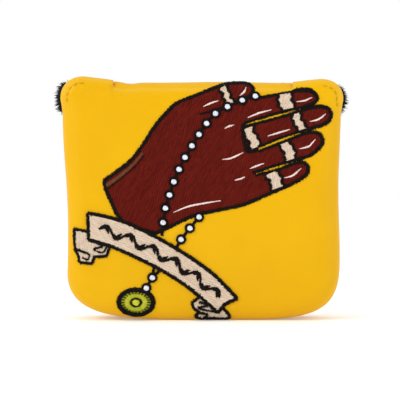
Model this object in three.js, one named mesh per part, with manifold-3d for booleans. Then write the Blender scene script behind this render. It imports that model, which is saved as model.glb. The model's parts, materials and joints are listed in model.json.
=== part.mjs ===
// Padded cover for a mallet putter head: an embroidered pouch with a fold-over magnetic flap.
// Millimetres, +Z up. X runs across the cover, the embroidered face looks along -Y, and the
// origin is the middle of the flat base that the cover stands on.
import * as THREE from "three";
import { mergeVertices } from "three/addons/utils/BufferGeometryUtils.js";
import Module from "manifold-3d";

const wasm = await Module();
wasm.setup();

// ---------------------------------------------------------------- driving dimensions
// The face seen from the front. A draw is how far a side stands in from the ears.
const FACE_WIDTH = 142; // across the two free top corners, the ears
const SEAM_END_DRAW = 1.1; // where the side seams stop
const SHOULDER_DRAW = 2.8; // where the sides start to flare towards the ears
const WAIST_DRAW = 3.8; // narrowest, half way between the hem corners and the shoulders
const HEM_DRAW = 3.1; // just above the bottom corners
const FOLD_HEIGHT = 120.2; // top of the fold between the ears
const EAR_RISE = 2; // how far the ears stand above the fold
const SEAM_END_DROP = 17.7; // below the fold: the side seams stop, and the ears hang free above
const SHOULDER_DROP = 40.2; // below the fold
const HEM_CORNER_HEIGHT = 28.6; // the bottom corners end here
const HEM_CORNER_RUN = 50; // width of each bottom corner, beside the flat
const EAR_CORNER_WIDTH = 11;
const EAR_CORNER_HEIGHT = 9.2;
const EAR_SPAN = 26; // width of each ear, from the lid's edge out
const NECK_NOTCH = 4; // how far the ear's inner edge slants from its top to the neck

// The walls, from the outside in.
const LEATHER = 1.2;
const BACKING = 0.4; // non-woven sheet behind the embroidery
const FOAM = 2.6;
const FLEECE = 2.6; // the plush lining, pile pressed
const LID_FOAM = 2;
const LID_FLEECE = 1.2;
const PLY_GAP = 0.3; // between one ply and the next, and across every seam

// The room inside is the gusset's width and how far each panel bows out past its seam.
const GUSSET_WIDTH = 24;
const FACE_FULLNESS = 1.5;
const BACK_FULLNESS = 0.7;
const INNER_ROLL = 2.5; // radius left at the inside of the rolled edges
const FACE_CROWN = 1.5; // how far the middle of the face swells
const BACK_RIM_DROP = 7.2; // below the fold
const RIM_TURN = 12; // degrees that the back panel's free rim leans in
const FREE_TURN = 45; // degrees that the ears and the fold's lower half turn back

// The lid: the roof over the mouth, and the flap that hangs down the back.
const FLAP_CLEARANCE = 1; // between the flap's lining and the back panel
const BACK_BEND_RADIUS = 9.5;
const FLAP_SPREAD = 4.3; // how far the flap widens past the roof on each side
const FLAP_HEM_HEIGHT = 54;
const FLAP_CORNER = 15;

// Stitching.
const THREAD_RADIUS = 0.35;
const TOPSTITCH_INSET = 4; // from a free edge
const THREAD_CLEARANCE = 0.2;
const STITCH_STOP = 1.3; // the lid's rows stop this far short of its folds
const RIM_STITCH_SHARE = 0.97; // of the way out to the back panel's free rim
const FOAM_TRIM = 1.4; // the gusset's and lid's foam stops this far short of their edges

// Closure.
const MAGNET_RADIUS = 7.5;
const MAGNET_THICKNESS = 1.2;
const CUP_WALL = 0.3;
const CUP_CLEARANCE = 0.1;
const MAGNET_SPACING = 56;
const MAGNET_RISE = 14; // above the flap's hem

// Embroidery: each pass of thread is a thin skin over the leather.
const PASS = 0.4;
const PASS_GAP = 0.2;
const OUTLINE_WIDTH = 2.2;
const ARTWORK_WIDTH = 142; // face width and height that the artwork was drawn for
const ARTWORK_HEIGHT = 122.2;

// ---------------------------------------------------------------- values that follow
const GUSSET_WALL = LEATHER + FOAM + FLEECE + 2 * PLY_GAP;
const FACE_WALL = GUSSET_WALL + BACKING + PLY_GAP;
const LID_WALL = LEATHER + LID_FOAM + LID_FLEECE + 2 * PLY_GAP;
const EAR_TOP = FOLD_HEIGHT + EAR_RISE;
const SEAM_END = new THREE.Vector2(FACE_WIDTH / 2 - SEAM_END_DRAW, FOLD_HEIGHT - SEAM_END_DROP);
const HEM_SIDE = FACE_WIDTH / 2 - HEM_DRAW;
const BASE_FLAT = 2 * (HEM_SIDE - HEM_CORNER_RUN); // width of the flat that the cover stands on
const NECK_WIDTH = FACE_WIDTH - 2 * EAR_SPAN; // width of the lid where it leaves the face
const BACK_RIM_HEIGHT = FOLD_HEIGHT - BACK_RIM_DROP;
const SEAM_PLANE = GUSSET_WIDTH / 2 + PLY_GAP / 2; // the panels' rims
const FREE_ANGLE = THREE.MathUtils.degToRad(FREE_TURN);
const RIM_ANGLE = THREE.MathUtils.degToRad(RIM_TURN);
const QUARTER = Math.PI / 2;
const TURN_STEPS = 6; // outline points over which a seam's quarter turn eases to a free edge
const FACE_CENTRE = new THREE.Vector2(0, FOLD_HEIGHT / 2);
const FACE_ROLL = FACE_WALL + INNER_ROLL;
const BACK_ROLL = GUSSET_WALL + INNER_ROLL;
const FACE_DEPTH = GUSSET_WIDTH / 2 + FACE_FULLNESS + FACE_WALL;
const BACK_DEPTH = GUSSET_WIDTH / 2 + BACK_FULLNESS + GUSSET_WALL;
// The face ends half way round its upper roll, and the lid takes over there.
const SPLIT_HEIGHT = FOLD_HEIGHT - FACE_ROLL * (1 - Math.sin(FREE_ANGLE));
const FLAP_OUTSIDE = BACK_DEPTH + FLAP_CLEARANCE + LID_WALL;
const BACK_BEND_Y = FLAP_OUTSIDE - BACK_BEND_RADIUS;
const ROOF_WIDTH = NECK_WIDTH - 2 * PLY_GAP;
const FLAP_WIDTH = ROOF_WIDTH + 2 * FLAP_SPREAD;
const MAGNET_HEIGHT = FLAP_HEM_HEIGHT + MAGNET_RISE;

const COLOURS = {
  leather: { color: 0xe8b004, roughness: 0.42, metalness: 0 },
  foam: { color: 0xd9d4c4, roughness: 0.95, metalness: 0 },
  fleece: { color: 0x111113, roughness: 1, metalness: 0 },
  backing: { color: 0xeeeeea, roughness: 0.9, metalness: 0 },
  yellowThread: { color: 0xb98600, roughness: 0.6, metalness: 0 },
  magnet: { color: 0xb8bcc2, roughness: 0.25, metalness: 1 },
  cup: { color: 0x3a3b3e, roughness: 0.6, metalness: 0 },
  maroonThread: { color: 0x64180f, roughness: 0.6, metalness: 0 },
  blackThread: { color: 0x17110e, roughness: 0.55, metalness: 0 },
  creamThread: { color: 0xd8c7ae, roughness: 0.6, metalness: 0 },
  silverThread: { color: 0xc9ccdc, roughness: 0.4, metalness: 0 },
  oliveThread: { color: 0xa9a72a, roughness: 0.6, metalness: 0 },
};

const cover = new THREE.Group();

function addPiece(name, geometry, look) {
  const mesh = new THREE.Mesh(geometry, new THREE.MeshStandardMaterial(COLOURS[look]));
  mesh.name = name;
  cover.add(mesh);
}

// ---------------------------------------------------------------- mesh helpers
// A closed geometry from a list of points and faces; faces of four corners are split.
function closedGeometry(points, faces) {
  const index = [];
  for (const [a, b, c, d] of faces) {
    index.push(a, b, c);
    if (d !== undefined) index.push(a, c, d);
  }
  const geometry = new THREE.BufferGeometry().setFromPoints(points);
  geometry.setIndex(index);
  return geometry;
}

function solid(geometry) {
  const bare = new THREE.BufferGeometry();
  bare.setAttribute("position", geometry.getAttribute("position"));
  bare.setIndex(geometry.index);
  const merged = mergeVertices(bare, 1e-4);
  return new wasm.Manifold(
    new wasm.Mesh({
      numProp: 3,
      vertProperties: merged.attributes.position.array,
      triVerts: new Uint32Array(merged.index.array),
    }),
  );
}

// The piece is a boolean's largest body: cuts across flat facets can leave bare flakes.
function geometryOf(cutBody) {
  const [body] = cutBody.decompose().sort((a, b) => b.volume() - a.volume());
  const mesh = body.getMesh();
  const geometry = new THREE.BufferGeometry();
  geometry.setAttribute("position", new THREE.BufferAttribute(mesh.vertProperties, 3));
  geometry.setIndex(new THREE.BufferAttribute(mesh.triVerts, 1));
  return geometry;
}

// A solid from equal rings of points, one after another, with its two ends closed.
function stripGeometry(points, ring) {
  const last = points.length - ring;
  const faces = [];
  for (let start = 0; start < last; start += ring) {
    for (let k = 0; k < ring; k++) {
      const next = (k + 1) % ring;
      faces.push([start + k, start + next, start + ring + next, start + ring + k]);
    }
  }
  for (let k = 1; k + 1 < ring; k++) {
    faces.push([0, k + 1, k]);
    faces.push([last, last + k, last + k + 1]);
  }
  return closedGeometry(points, faces);
}

// A thread that bends at each point of a list, its rings carried along without twist.
function threadGeometry(points, radius) {
  const sides = 6;
  const side = new THREE.Vector3(0.3, 0.5, 0.8);
  const rings = [];
  points.forEach((point, k) => {
    const before = points[Math.max(k - 1, 0)];
    const after = points[Math.min(k + 1, points.length - 1)];
    const along = after.clone().sub(before).normalize();
    side.addScaledVector(along, -side.dot(along)).normalize();
    const up = along.clone().cross(side);
    for (let s = 0; s < sides; s++) {
      const angle = (2 * Math.PI * s) / sides;
      rings.push(
        point
          .clone()
          .addScaledVector(side, radius * Math.cos(angle))
          .addScaledVector(up, radius * Math.sin(angle)),
      );
    }
  });
  return stripGeometry(rings, sides);
}

// ---------------------------------------------------------------- the face's outline
// A stretch of outline as points with outward normals, without the curve's first point.
function trace(curve, count) {
  const stretch = [];
  for (let k = 1; k <= count; k++) {
    const tangent = curve.getTangent(k / count);
    const normal = new THREE.Vector2(tangent.y, -tangent.x);
    stretch.push({ at: curve.getPoint(k / count), normal });
  }
  return stretch;
}

const xy = (x, y) => new THREE.Vector2(x, y);
const bezier = (...points) => new THREE.CubicBezierCurve(...points);
const line = (...points) => new THREE.LineCurve(...points);

// Right half of the outline, from the base up to where the side seam stops.
function seamStretch() {
  const flat = xy(BASE_FLAT / 2, 0);
  const hemTop = xy(HEM_SIDE, HEM_CORNER_HEIGHT);
  const shoulder = xy(FACE_WIDTH / 2 - SHOULDER_DRAW, FOLD_HEIGHT - SHOULDER_DROP);
  const waist = FACE_WIDTH / 2 - WAIST_DRAW;
  // A bezier's two handles are pulled 4/3 as far as its middle bows.
  const chord = (HEM_SIDE + shoulder.x) / 2;
  const waistPull = chord - (4 / 3) * (chord - waist);
  const waistHeight = (shoulder.y + HEM_CORNER_HEIGHT) / 2;
  const waistSpan = (shoulder.y - HEM_CORNER_HEIGHT) / 4;
  const flareSpan = (SEAM_END.y - shoulder.y) / 3;
  return [
    { at: xy(0, 0), normal: xy(0, -1) },
    ...trace(line(xy(0, 0), flat), 1),
    ...trace(
      bezier(
        flat,
        xy(HEM_SIDE - 0.28 * HEM_CORNER_RUN, 0.6),
        xy(HEM_SIDE, HEM_CORNER_HEIGHT / 3),
        hemTop,
      ),
      6,
    ),
    ...trace(
      bezier(
        hemTop,
        xy(waistPull, waistHeight - waistSpan),
        xy(waistPull, waistHeight + waistSpan),
        shoulder,
      ),
      3,
    ),
    ...trace(
      bezier(
        shoulder,
        xy(shoulder.x + 0.6, shoulder.y + flareSpan),
        xy(SEAM_END.x - 0.4, SEAM_END.y - flareSpan),
        SEAM_END,
      ),
      2,
    ),
  ];
}

// From the end of the side seam round the ear to the neck.
function earStretch() {
  const ear = FACE_WIDTH / 2;
  const flank = xy(ear, EAR_TOP - EAR_CORNER_HEIGHT);
  const top = xy(ear - EAR_CORNER_WIDTH, EAR_TOP);
  const inner = xy(NECK_WIDTH / 2 + NECK_NOTCH, EAR_TOP - 0.5);
  const neck = xy(NECK_WIDTH / 2, SPLIT_HEIGHT);
  const stretch = [
    ...trace(line(SEAM_END, flank), TURN_STEPS),
    ...trace(
      bezier(
        flank,
        xy(ear, EAR_TOP - 0.4 * EAR_CORNER_HEIGHT),
        xy(ear - 0.35 * EAR_CORNER_WIDTH, EAR_TOP),
        top,
      ),
      3,
    ),
    ...trace(line(top, inner), 1),
    ...trace(line(inner, neck), 1),
  ];
  stretch.at(-2).normal = xy(-0.4, 0.92).normalize(); // the ear's inner corner
  stretch.at(-1).normal = xy(0, 1);
  return stretch;
}

const mirrored = ({ at, normal, turn }) => ({
  at: xy(-at.x, at.y),
  normal: xy(-normal.x, normal.y),
  turn,
});

// The closed outline from its right half, which starts on the middle line.
function closedOutline(right, topPoint) {
  const left = right.slice(1).map(mirrored).reverse();
  return [...right, ...(topPoint ? [topPoint] : []), ...left];
}

const seamRight = seamStretch();
const earRight = earStretch();

// turn is how far the edge rolls back there: a quarter turn at a seam, less at a free edge.
// Past the seam's end it eases from the one to the other.
function easedTurn(stretch, freeTurn) {
  return stretch.map((point, k) => {
    const share = Math.min((k + 1) / TURN_STEPS, 1);
    return { ...point, turn: THREE.MathUtils.lerp(QUARTER, freeTurn, share) };
  });
}

const faceOutline = closedOutline(
  [
    ...seamRight.map((point) => ({ ...point, turn: QUARTER })),
    ...easedTurn(earRight, FREE_ANGLE),
  ],
  { at: xy(0, SPLIT_HEIGHT), normal: xy(0, 1), turn: FREE_ANGLE },
);

// The back panel's upper corner is a quarter round from the seam's end to the rim.
const rimCorner = BACK_RIM_HEIGHT - SEAM_END.y;
const rimEnd = SEAM_END.x - rimCorner;
const rimArc = new THREE.EllipseCurve(rimEnd, SEAM_END.y, rimCorner, rimCorner, 0, QUARTER);
const rimRight = easedTurn(
  [...trace(rimArc, TURN_STEPS), { at: xy(rimEnd / 2, BACK_RIM_HEIGHT), normal: xy(0, 1) }],
  RIM_ANGLE,
);
const rimMiddle = { at: xy(0, BACK_RIM_HEIGHT), normal: xy(0, 1), turn: RIM_ANGLE };
const backOutline = closedOutline(
  [...seamRight.map((point) => ({ ...point, turn: QUARTER })), ...rimRight],
  rimMiddle,
);

const facePanel = {
  outline: faceOutline,
  roll: FACE_ROLL,
  rollDepth: FACE_DEPTH - SEAM_PLANE,
  crown: FACE_CROWN,
  side: -1,
};
const backPanel = {
  outline: backOutline,
  roll: BACK_ROLL,
  rollDepth: BACK_DEPTH - SEAM_PLANE,
  crown: 0,
  side: 1,
};

// ---------------------------------------------------------------- panels
// A point on a panel's rolled edge: angle 0 is on the flat, inset is depth under the leather.
function rollPoint(panel, spot, angle, inset) {
  const { at, normal, turn } = spot;
  const reach = (panel.roll - inset) * Math.sin(angle) - panel.roll * Math.sin(turn);
  const depth = SEAM_PLANE + (panel.rollDepth - inset) * Math.cos(angle);
  return new THREE.Vector3(
    at.x + normal.x * reach,
    panel.side * depth,
    at.y + normal.y * reach,
  );
}

// A point further in, where share runs from 1 at the roll to 0 at the panel's middle.
function facePoint(panel, spot, share, inset) {
  const rolled = rollPoint(panel, spot, 0, inset);
  const flat = xy(rolled.x, rolled.z).lerp(FACE_CENTRE, 1 - share);
  const swell = panel.crown * (1 - share * share);
  return new THREE.Vector3(flat.x, rolled.y + panel.side * swell, flat.y);
}

const ROLL_STEPS = 3;
const FACE_SHARES = [0.86, 0.45];

// One ply of a panel: a dished sheet between two insets.
function panelPly(panel, outer, inner) {
  const { outline } = panel;
  const count = outline.length;
  const rings = ROLL_STEPS + 1 + FACE_SHARES.length;
  const points = [];
  for (const inset of [outer, inner]) {
    for (let ring = 0; ring <= ROLL_STEPS; ring++) {
      const share = 1 - ring / ROLL_STEPS;
      for (const spot of outline) points.push(rollPoint(panel, spot, spot.turn * share, inset));
    }
    for (const share of FACE_SHARES) {
      for (const spot of outline) points.push(facePoint(panel, spot, share, inset));
    }
    points.push(facePoint(panel, outline[0], 0, inset));
  }
  const ply = rings * count + 1;
  const faces = [];
  for (let k = 0; k < count; k++) {
    const next = (k + 1) % count;
    for (let ring = 0; ring + 1 < rings; ring++) {
      const [a, b] = [ring * count + k, ring * count + next];
      faces.push([a, b, b + count, a + count]);
      faces.push([ply + b, ply + a, ply + a + count, ply + b + count]);
    }
    const last = (rings - 1) * count;
    faces.push([last + k, last + next, ply - 1]);
    faces.push([ply + last + next, ply + last + k, 2 * ply - 1]);
    faces.push([next, k, ply + k, ply + next]);
  }
  if (panel.side > 0) faces.forEach((face) => face.reverse());
  return closedGeometry(points, faces);
}

// One ply of the gusset, the strip that joins the two panels down both sides and the base.
function gussetPly(outer, inner, halfWidth) {
  const spots = [...seamRight.slice(1).reverse(), ...seamRight.map(mirrored)];
  const points = [];
  for (const { at, normal } of spots) {
    for (const [inset, y] of [
      [outer, halfWidth],
      [outer, -halfWidth],
      [inner, -halfWidth],
      [inner, halfWidth],
    ]) {
      points.push(new THREE.Vector3(at.x - normal.x * inset, y, at.y - normal.y * inset));
    }
  }
  return stripGeometry(points, 4);
}

// ---------------------------------------------------------------- the lid
// Stations along the lid's outside, front to back: a point and the way in through the wall.
function frontRollStation(angle) {
  const y = -SEAM_PLANE - facePanel.rollDepth * Math.sin(angle);
  const z = FOLD_HEIGHT - FACE_ROLL * (1 - Math.cos(angle));
  return { y, z, inY: Math.sin(angle), inZ: -Math.cos(angle), half: ROOF_WIDTH / 2 };
}

function backBendStation(angle) {
  const y = BACK_BEND_Y + BACK_BEND_RADIUS * Math.sin(angle);
  const z = FOLD_HEIGHT - BACK_BEND_RADIUS * (1 - Math.cos(angle));
  const widening = (FLAP_WIDTH - ROOF_WIDTH) / 2;
  const half = ROOF_WIDTH / 2 + widening * Math.max(0, angle / FREE_ANGLE - 1);
  return { y, z, inY: -Math.sin(angle), inZ: -Math.cos(angle), half };
}

function flapStation(z, half) {
  return { y: FLAP_OUTSIDE, z, inY: -1, inZ: 0, half };
}

const FRONT_GAP = PLY_GAP / FACE_ROLL;
const BACK_GAP = PLY_GAP / BACK_BEND_RADIUS / 2;

const roofStations = [
  ...[1, 0.5, 0].map((share) => frontRollStation(share * (FREE_ANGLE - FRONT_GAP))),
  ...[0, 0.5, 1].map((share) => backBendStation(share * (FREE_ANGLE - BACK_GAP))),
];

// The flap's stations down to a hem that can be set in from the leather's own.
function flapStations(hemInset) {
  const straightTop = FOLD_HEIGHT - BACK_BEND_RADIUS;
  const bend = [FREE_ANGLE + BACK_GAP, 0.75 * QUARTER, QUARTER].map(backBendStation);
  const corner = [0, 0.3, 0.55, 0.8, 1].map((share) => {
    const angle = share * QUARTER;
    const rise = FLAP_CORNER * (1 - Math.sin(angle));
    const half = FLAP_WIDTH / 2 - FLAP_CORNER * (1 - Math.cos(angle));
    return flapStation(FLAP_HEM_HEIGHT + hemInset + rise, half);
  });
  const middle = flapStation((straightTop + corner[0].z) / 2, FLAP_WIDTH / 2);
  return [...bend, middle, ...corner];
}

function lidPoint(station, across, inset) {
  return new THREE.Vector3(
    across,
    station.y + station.inY * inset,
    station.z + station.inZ * inset,
  );
}

// One ply of the lid: a strip four points round, set in from the free side edges.
function lidPly(stations, outer, inner, sideInset) {
  const points = [];
  for (const station of stations) {
    const half = station.half - sideInset;
    points.push(lidPoint(station, -half, outer));
    points.push(lidPoint(station, half, outer));
    points.push(lidPoint(station, half, inner));
    points.push(lidPoint(station, -half, inner));
  }
  return stripGeometry(points, 4);
}

// ---------------------------------------------------------------- closure
// A disc or ring about the Y axis from a profile of radius and depth.
function turned(profile, x, y, z) {
  const sides = 18;
  const corners = profile.map(([radius, depth]) => xy(radius, depth));
  return new THREE.LatheGeometry(corners, sides).translate(x, y, z);
}

function disc(radius, thickness, x, y, z) {
  const half = thickness / 2;
  return turned([[0, -half], [radius, -half], [radius, half], [0, half]], x, y, z);
}

// A shallow cup that opens towards +Y or -Y and holds a magnet.
function magnetCup(x, y, z, opening) {
  const outer = MAGNET_RADIUS + CUP_CLEARANCE + CUP_WALL;
  const bore = MAGNET_RADIUS + CUP_CLEARANCE;
  const floor = -MAGNET_THICKNESS / 2 - CUP_CLEARANCE;
  const lip = MAGNET_THICKNESS / 2;
  const profile = [
    [0, floor - CUP_WALL],
    [outer, floor - CUP_WALL],
    [outer, lip],
    [bore, lip],
    [bore, floor],
    [0, floor],
  ];
  if (opening > 0) return turned(profile, x, y, z);
  const flipped = profile.map(([radius, depth]) => [radius, -depth]).reverse();
  return turned(flipped, x, y, z);
}

// Cuts the pockets for the cups right through a foam ply.
function withPockets(geometry, y) {
  let body = solid(geometry);
  const radius = MAGNET_RADIUS + CUP_CLEARANCE + CUP_WALL + PLY_GAP;
  const throughCut = 4 * FOAM;
  for (const x of [-MAGNET_SPACING / 2, MAGNET_SPACING / 2]) {
    body = body.subtract(solid(disc(radius, throughCut, x, y, MAGNET_HEIGHT)));
  }
  return geometryOf(body);
}

// ---------------------------------------------------------------- embroidery
// Artwork points are drawn on the flat, with the height measured up from the base.
const onFace = ([x, z]) =>
  xy((x * FACE_WIDTH) / ARTWORK_WIDTH, (z * EAR_TOP) / ARTWORK_HEIGHT);

const smooth = (points, count, closed = false) => {
  const curve = new THREE.CatmullRomCurve3(
    points.map(onFace).map(({ x, y }) => new THREE.Vector3(x, y, 0)),
    closed,
  );
  return curve.getPoints(count).map(({ x, y }) => xy(x, y));
};

// A prism along Y, over the whole face, from a flat outline.
function prism(points) {
  const depth = 2 * FACE_DEPTH;
  const body = new THREE.ExtrudeGeometry(new THREE.Shape(points), {
    depth,
    bevelEnabled: false,
  });
  return solid(body.rotateX(Math.PI / 2));
}

const around = (centre, radius, angle) =>
  xy(centre.x + radius * Math.cos(angle), centre.y + radius * Math.sin(angle));

// A line of stitches of one width along a path, as prisms with round ends.
function stroke(points, width) {
  const radius = width / 2;
  const endSteps = 4;
  const pieces = points.slice(1).map((end, k) => {
    const start = points[k];
    const heading = Math.atan2(end.y - start.y, end.x - start.x);
    const outline = [];
    for (let step = 0; step <= endSteps; step++) {
      outline.push(around(end, radius, heading - QUARTER + (Math.PI * step) / endSteps));
    }
    for (let step = 0; step <= endSteps; step++) {
      outline.push(around(start, radius, heading + QUARTER + (Math.PI * step) / endSteps));
    }
    return prism(outline);
  });
  return pieces.reduce((whole, piece) => whole.add(piece));
}

function ellipse(centre, radiusX, radiusZ, sides) {
  const [reachX, reachZ] = onFace([radiusX, radiusZ]).toArray();
  const middle = onFace(centre);
  const points = [];
  for (let k = 0; k < sides; k++) {
    const angle = (2 * Math.PI * k) / sides;
    points.push(xy(middle.x + reachX * Math.cos(angle), middle.y + reachZ * Math.sin(angle)));
  }
  return points;
}

// The skin of thread over the leather on the first or second pass of the machine.
function threadSkin(pass) {
  const lift = PASS_GAP + (pass - 1) * (PASS + PASS_GAP);
  return solid(panelPly(facePanel, -lift - PASS, -lift));
}

// Stitched lines and areas: points across and up, which onFace fits to the face's size.
const HAND = [
  [-49.5, 70.5], [-38, 78.5], [-29.5, 89], [-19, 102.5], [-6, 110.5], [9, 114.5], [20, 115.3], [24, 113.5],
  [26, 111], [38, 114], [52, 115.2], [57.5, 112.5], [55, 109], [62.5, 107.5], [64.5, 103.5], [61, 98.8],
  [56.5, 97], [60.3, 91.5], [57.5, 85], [51.5, 81.5], [53, 77], [46, 69.5], [31.5, 63.5], [16, 57.2],
  [-2, 54], [-20, 45.5], [-40, 47.5], [-46.5, 59],
];
const FINGER_LINES = [
  [[20, 98.5], [32, 103], [55, 109]],
  [[28, 85.5], [42, 92.5], [56.5, 97]],
  [[26, 73.5], [38, 78], [51.5, 81.5]],
];
const STRING = [
  [22, 112], [12, 107.3], [2, 99.3], [-5.5, 87.7], [-12, 76.2], [-16.5, 63.2], [-20, 49], [-20.4, 45],
];
const SHORT_STRING = [[-2, 52.5], [-7, 45.8], [-12, 39.5]];
const PENDANT_STRING = [[-25, 22.3], [-29, 16.5]];
const RIBBON_TOP = [[-57.5, 54], [-43.5, 51.5], [-27.5, 44.5], [-11, 35], [4.5, 25], [17, 11.5]];
const RIBBON_FOOT = [[5.5, 6], [-5.5, 15.5], [-14, 22], [-27.5, 29.5], [-43.5, 36.5], [-57.2, 40.5]];
const TAIL_LEFT = [
  [-57.6, 47], [-65, 46], [-64, 35], [-62.5, 28.6], [-56, 28.6], [-54.5, 32], [-49, 32], [-47, 42],
];
const TAIL_RIGHT = [[-5.5, 11], [-4.4, 2.4], [-1, 1.6], [14.3, 1.6], [9, 10], [-1, 14]];
const MEDALLION = [-33.6, 9.2];
const MEDALLION_RADII = [9.6, 7];
const BEAD_RADIUS = 2.2;
const BEAD_PITCH = 6.5;
const LINK_WIDTH = 1.2;

// Beads threaded at an even pitch along a link line.
function beadString(points) {
  const path = smooth(points, 3 * points.length);
  const curve = new THREE.CatmullRomCurve3(path.map(({ x, y }) => new THREE.Vector3(x, y, 0)));
  const beads = Math.max(1, Math.floor(curve.getLength() / BEAD_PITCH));
  let string = stroke(path, LINK_WIDTH);
  for (let k = 0; k <= beads; k++) {
    const at = curve.getPointAt(k / beads);
    const ring = [];
    for (let side = 0; side < 8; side++) ring.push(around(at, BEAD_RADIUS, (Math.PI * side) / 4));
    string = string.add(prism(ring));
  }
  return string;
}

function addEmbroidery() {
  const firstPass = threadSkin(1);
  const secondPass = threadSkin(2);
  const sewn = (name, shape, skin, look) =>
    addPiece(name, geometryOf(shape.intersect(skin)), look);
  const widened = OUTLINE_WIDTH + 2 * PASS_GAP;

  const handEdge = smooth(HAND, 2 * HAND.length, true);
  const fingerLines = FINGER_LINES.map((points) => smooth(points, 4));
  const ribbonEdge = [...smooth(RIBBON_TOP, 10), ...smooth(RIBBON_FOOT, 10)];
  const ribbonRing = [...ribbonEdge, ribbonEdge[0]];
  const ribbonKeepOut = prism(ribbonEdge).add(stroke(ribbonRing, widened));
  const handStrokes = (width) =>
    fingerLines.reduce(
      (whole, points) => whole.add(stroke(points, width)),
      stroke(handEdge, width),
    );

  const fill = prism(handEdge.slice(1)).subtract(handStrokes(widened));
  sewn("hand_fill", fill.subtract(ribbonKeepOut), firstPass, "maroonThread");
  const outline = handStrokes(OUTLINE_WIDTH).subtract(ribbonKeepOut);
  sewn("hand_outline", outline, firstPass, "blackThread");
  sewn("ribbon", prism(ribbonEdge).subtract(stroke(ribbonRing, widened)), firstPass, "creamThread");
  sewn("ribbon_outline", stroke(ribbonRing, OUTLINE_WIDTH), firstPass, "blackThread");
  const tails = { ribbon_tail_left: TAIL_LEFT, ribbon_tail_right: TAIL_RIGHT };
  for (const [name, points] of Object.entries(tails)) {
    const tail = prism(points.map(onFace)).subtract(ribbonKeepOut);
    sewn(name, tail, firstPass, "creamThread");
  }

  const strings = {
    bead_string: STRING,
    bead_string_end: SHORT_STRING,
    pendant_string: PENDANT_STRING,
  };
  const medallion = prism(ellipse(MEDALLION, ...MEDALLION_RADII, 20));
  const medallionKeepOut = prism(
    ellipse(MEDALLION, ...MEDALLION_RADII.map((radius) => radius + PASS_GAP), 20),
  );
  for (const [name, points] of Object.entries(strings)) {
    const string = beadString(points).subtract(ribbonKeepOut).subtract(medallionKeepOut);
    sewn(name, string, secondPass, "silverThread");
  }
  sewn("medallion", medallion, firstPass, "oliveThread");
}

// ---------------------------------------------------------------- assembly
function addFace() {
  const foamFrom = LEATHER + BACKING + 2 * PLY_GAP;
  const liningFrom = foamFrom + FOAM + PLY_GAP;
  const backingFrom = LEATHER + PLY_GAP;
  addPiece("front_leather", panelPly(facePanel, 0, LEATHER), "leather");
  addPiece(
    "embroidery_backing",
    panelPly(facePanel, backingFrom, backingFrom + BACKING),
    "backing",
  );
  addPiece("front_foam", panelPly(facePanel, foamFrom, foamFrom + FOAM), "foam");
  addPiece("front_lining", panelPly(facePanel, liningFrom, liningFrom + FLEECE), "fleece");
}

const WALL_FOAM_FROM = LEATHER + PLY_GAP;
const WALL_LINING_FROM = WALL_FOAM_FROM + FOAM + PLY_GAP;

function addBack() {
  const foam = panelPly(backPanel, WALL_FOAM_FROM, WALL_FOAM_FROM + FOAM);
  const magnetY = BACK_DEPTH - WALL_FOAM_FROM - FOAM / 2;
  addPiece("back_leather", panelPly(backPanel, 0, LEATHER), "leather");
  addPiece("back_foam", withPockets(foam, magnetY), "foam");
  addPiece(
    "back_lining",
    panelPly(backPanel, WALL_LINING_FROM, WALL_LINING_FROM + FLEECE),
    "fleece",
  );
  addMagnets("back", magnetY, 1);
}

function addGusset() {
  const half = SEAM_PLANE - PLY_GAP;
  const foamHalf = half - FOAM_TRIM;
  addPiece("gusset_leather", gussetPly(0, LEATHER, half), "leather");
  addPiece("gusset_foam", gussetPly(WALL_FOAM_FROM, WALL_FOAM_FROM + FOAM, foamHalf), "foam");
  addPiece(
    "gusset_lining",
    gussetPly(WALL_LINING_FROM, WALL_LINING_FROM + FLEECE, half),
    "fleece",
  );
}

const LID_FOAM_FROM = LEATHER + PLY_GAP;
const LID_LINING_FROM = LID_FOAM_FROM + LID_FOAM + PLY_GAP;

function addLidPart(prefix, stations, trimmedStations, shapeFoam) {
  const foam = lidPly(trimmedStations, LID_FOAM_FROM, LID_FOAM_FROM + LID_FOAM, FOAM_TRIM);
  addPiece(`${prefix}_leather`, lidPly(stations, 0, LEATHER, 0), "leather");
  addPiece(`${prefix}_foam`, shapeFoam(foam), "foam");
  addPiece(
    `${prefix}_lining`,
    lidPly(stations, LID_LINING_FROM, LID_LINING_FROM + LID_FLEECE, 0),
    "fleece",
  );
}

function addRoof() {
  addLidPart("roof", roofStations, roofStations, (foam) => foam);
}

function addFlap() {
  const magnetY = FLAP_OUTSIDE - LID_FOAM_FROM - LID_FOAM / 2;
  addLidPart("flap", flapStations(0), flapStations(FOAM_TRIM), (foam) =>
    withPockets(foam, magnetY),
  );
  addMagnets("flap", magnetY, -1);
}

function addMagnets(prefix, y, opening) {
  for (const [side, x] of [["left", -MAGNET_SPACING / 2], ["right", MAGNET_SPACING / 2]]) {
    const magnet = disc(MAGNET_RADIUS, MAGNET_THICKNESS, x, y, MAGNET_HEIGHT);
    addPiece(`${prefix}_magnet_${side}`, magnet, "magnet");
    const cup = magnetCup(x, y, MAGNET_HEIGHT, opening);
    addPiece(`${prefix}_magnet_cup_${side}`, cup, "cup");
  }
}

// A path with its two ends drawn in along their own stretches.
function shortened(points, stop) {
  const drawnIn = (end, next) => end.clone().lerp(next, stop / end.distanceTo(next));
  return [
    drawnIn(points[0], points[1]),
    ...points.slice(1, -1),
    drawnIn(points.at(-1), points.at(-2)),
  ];
}

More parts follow.
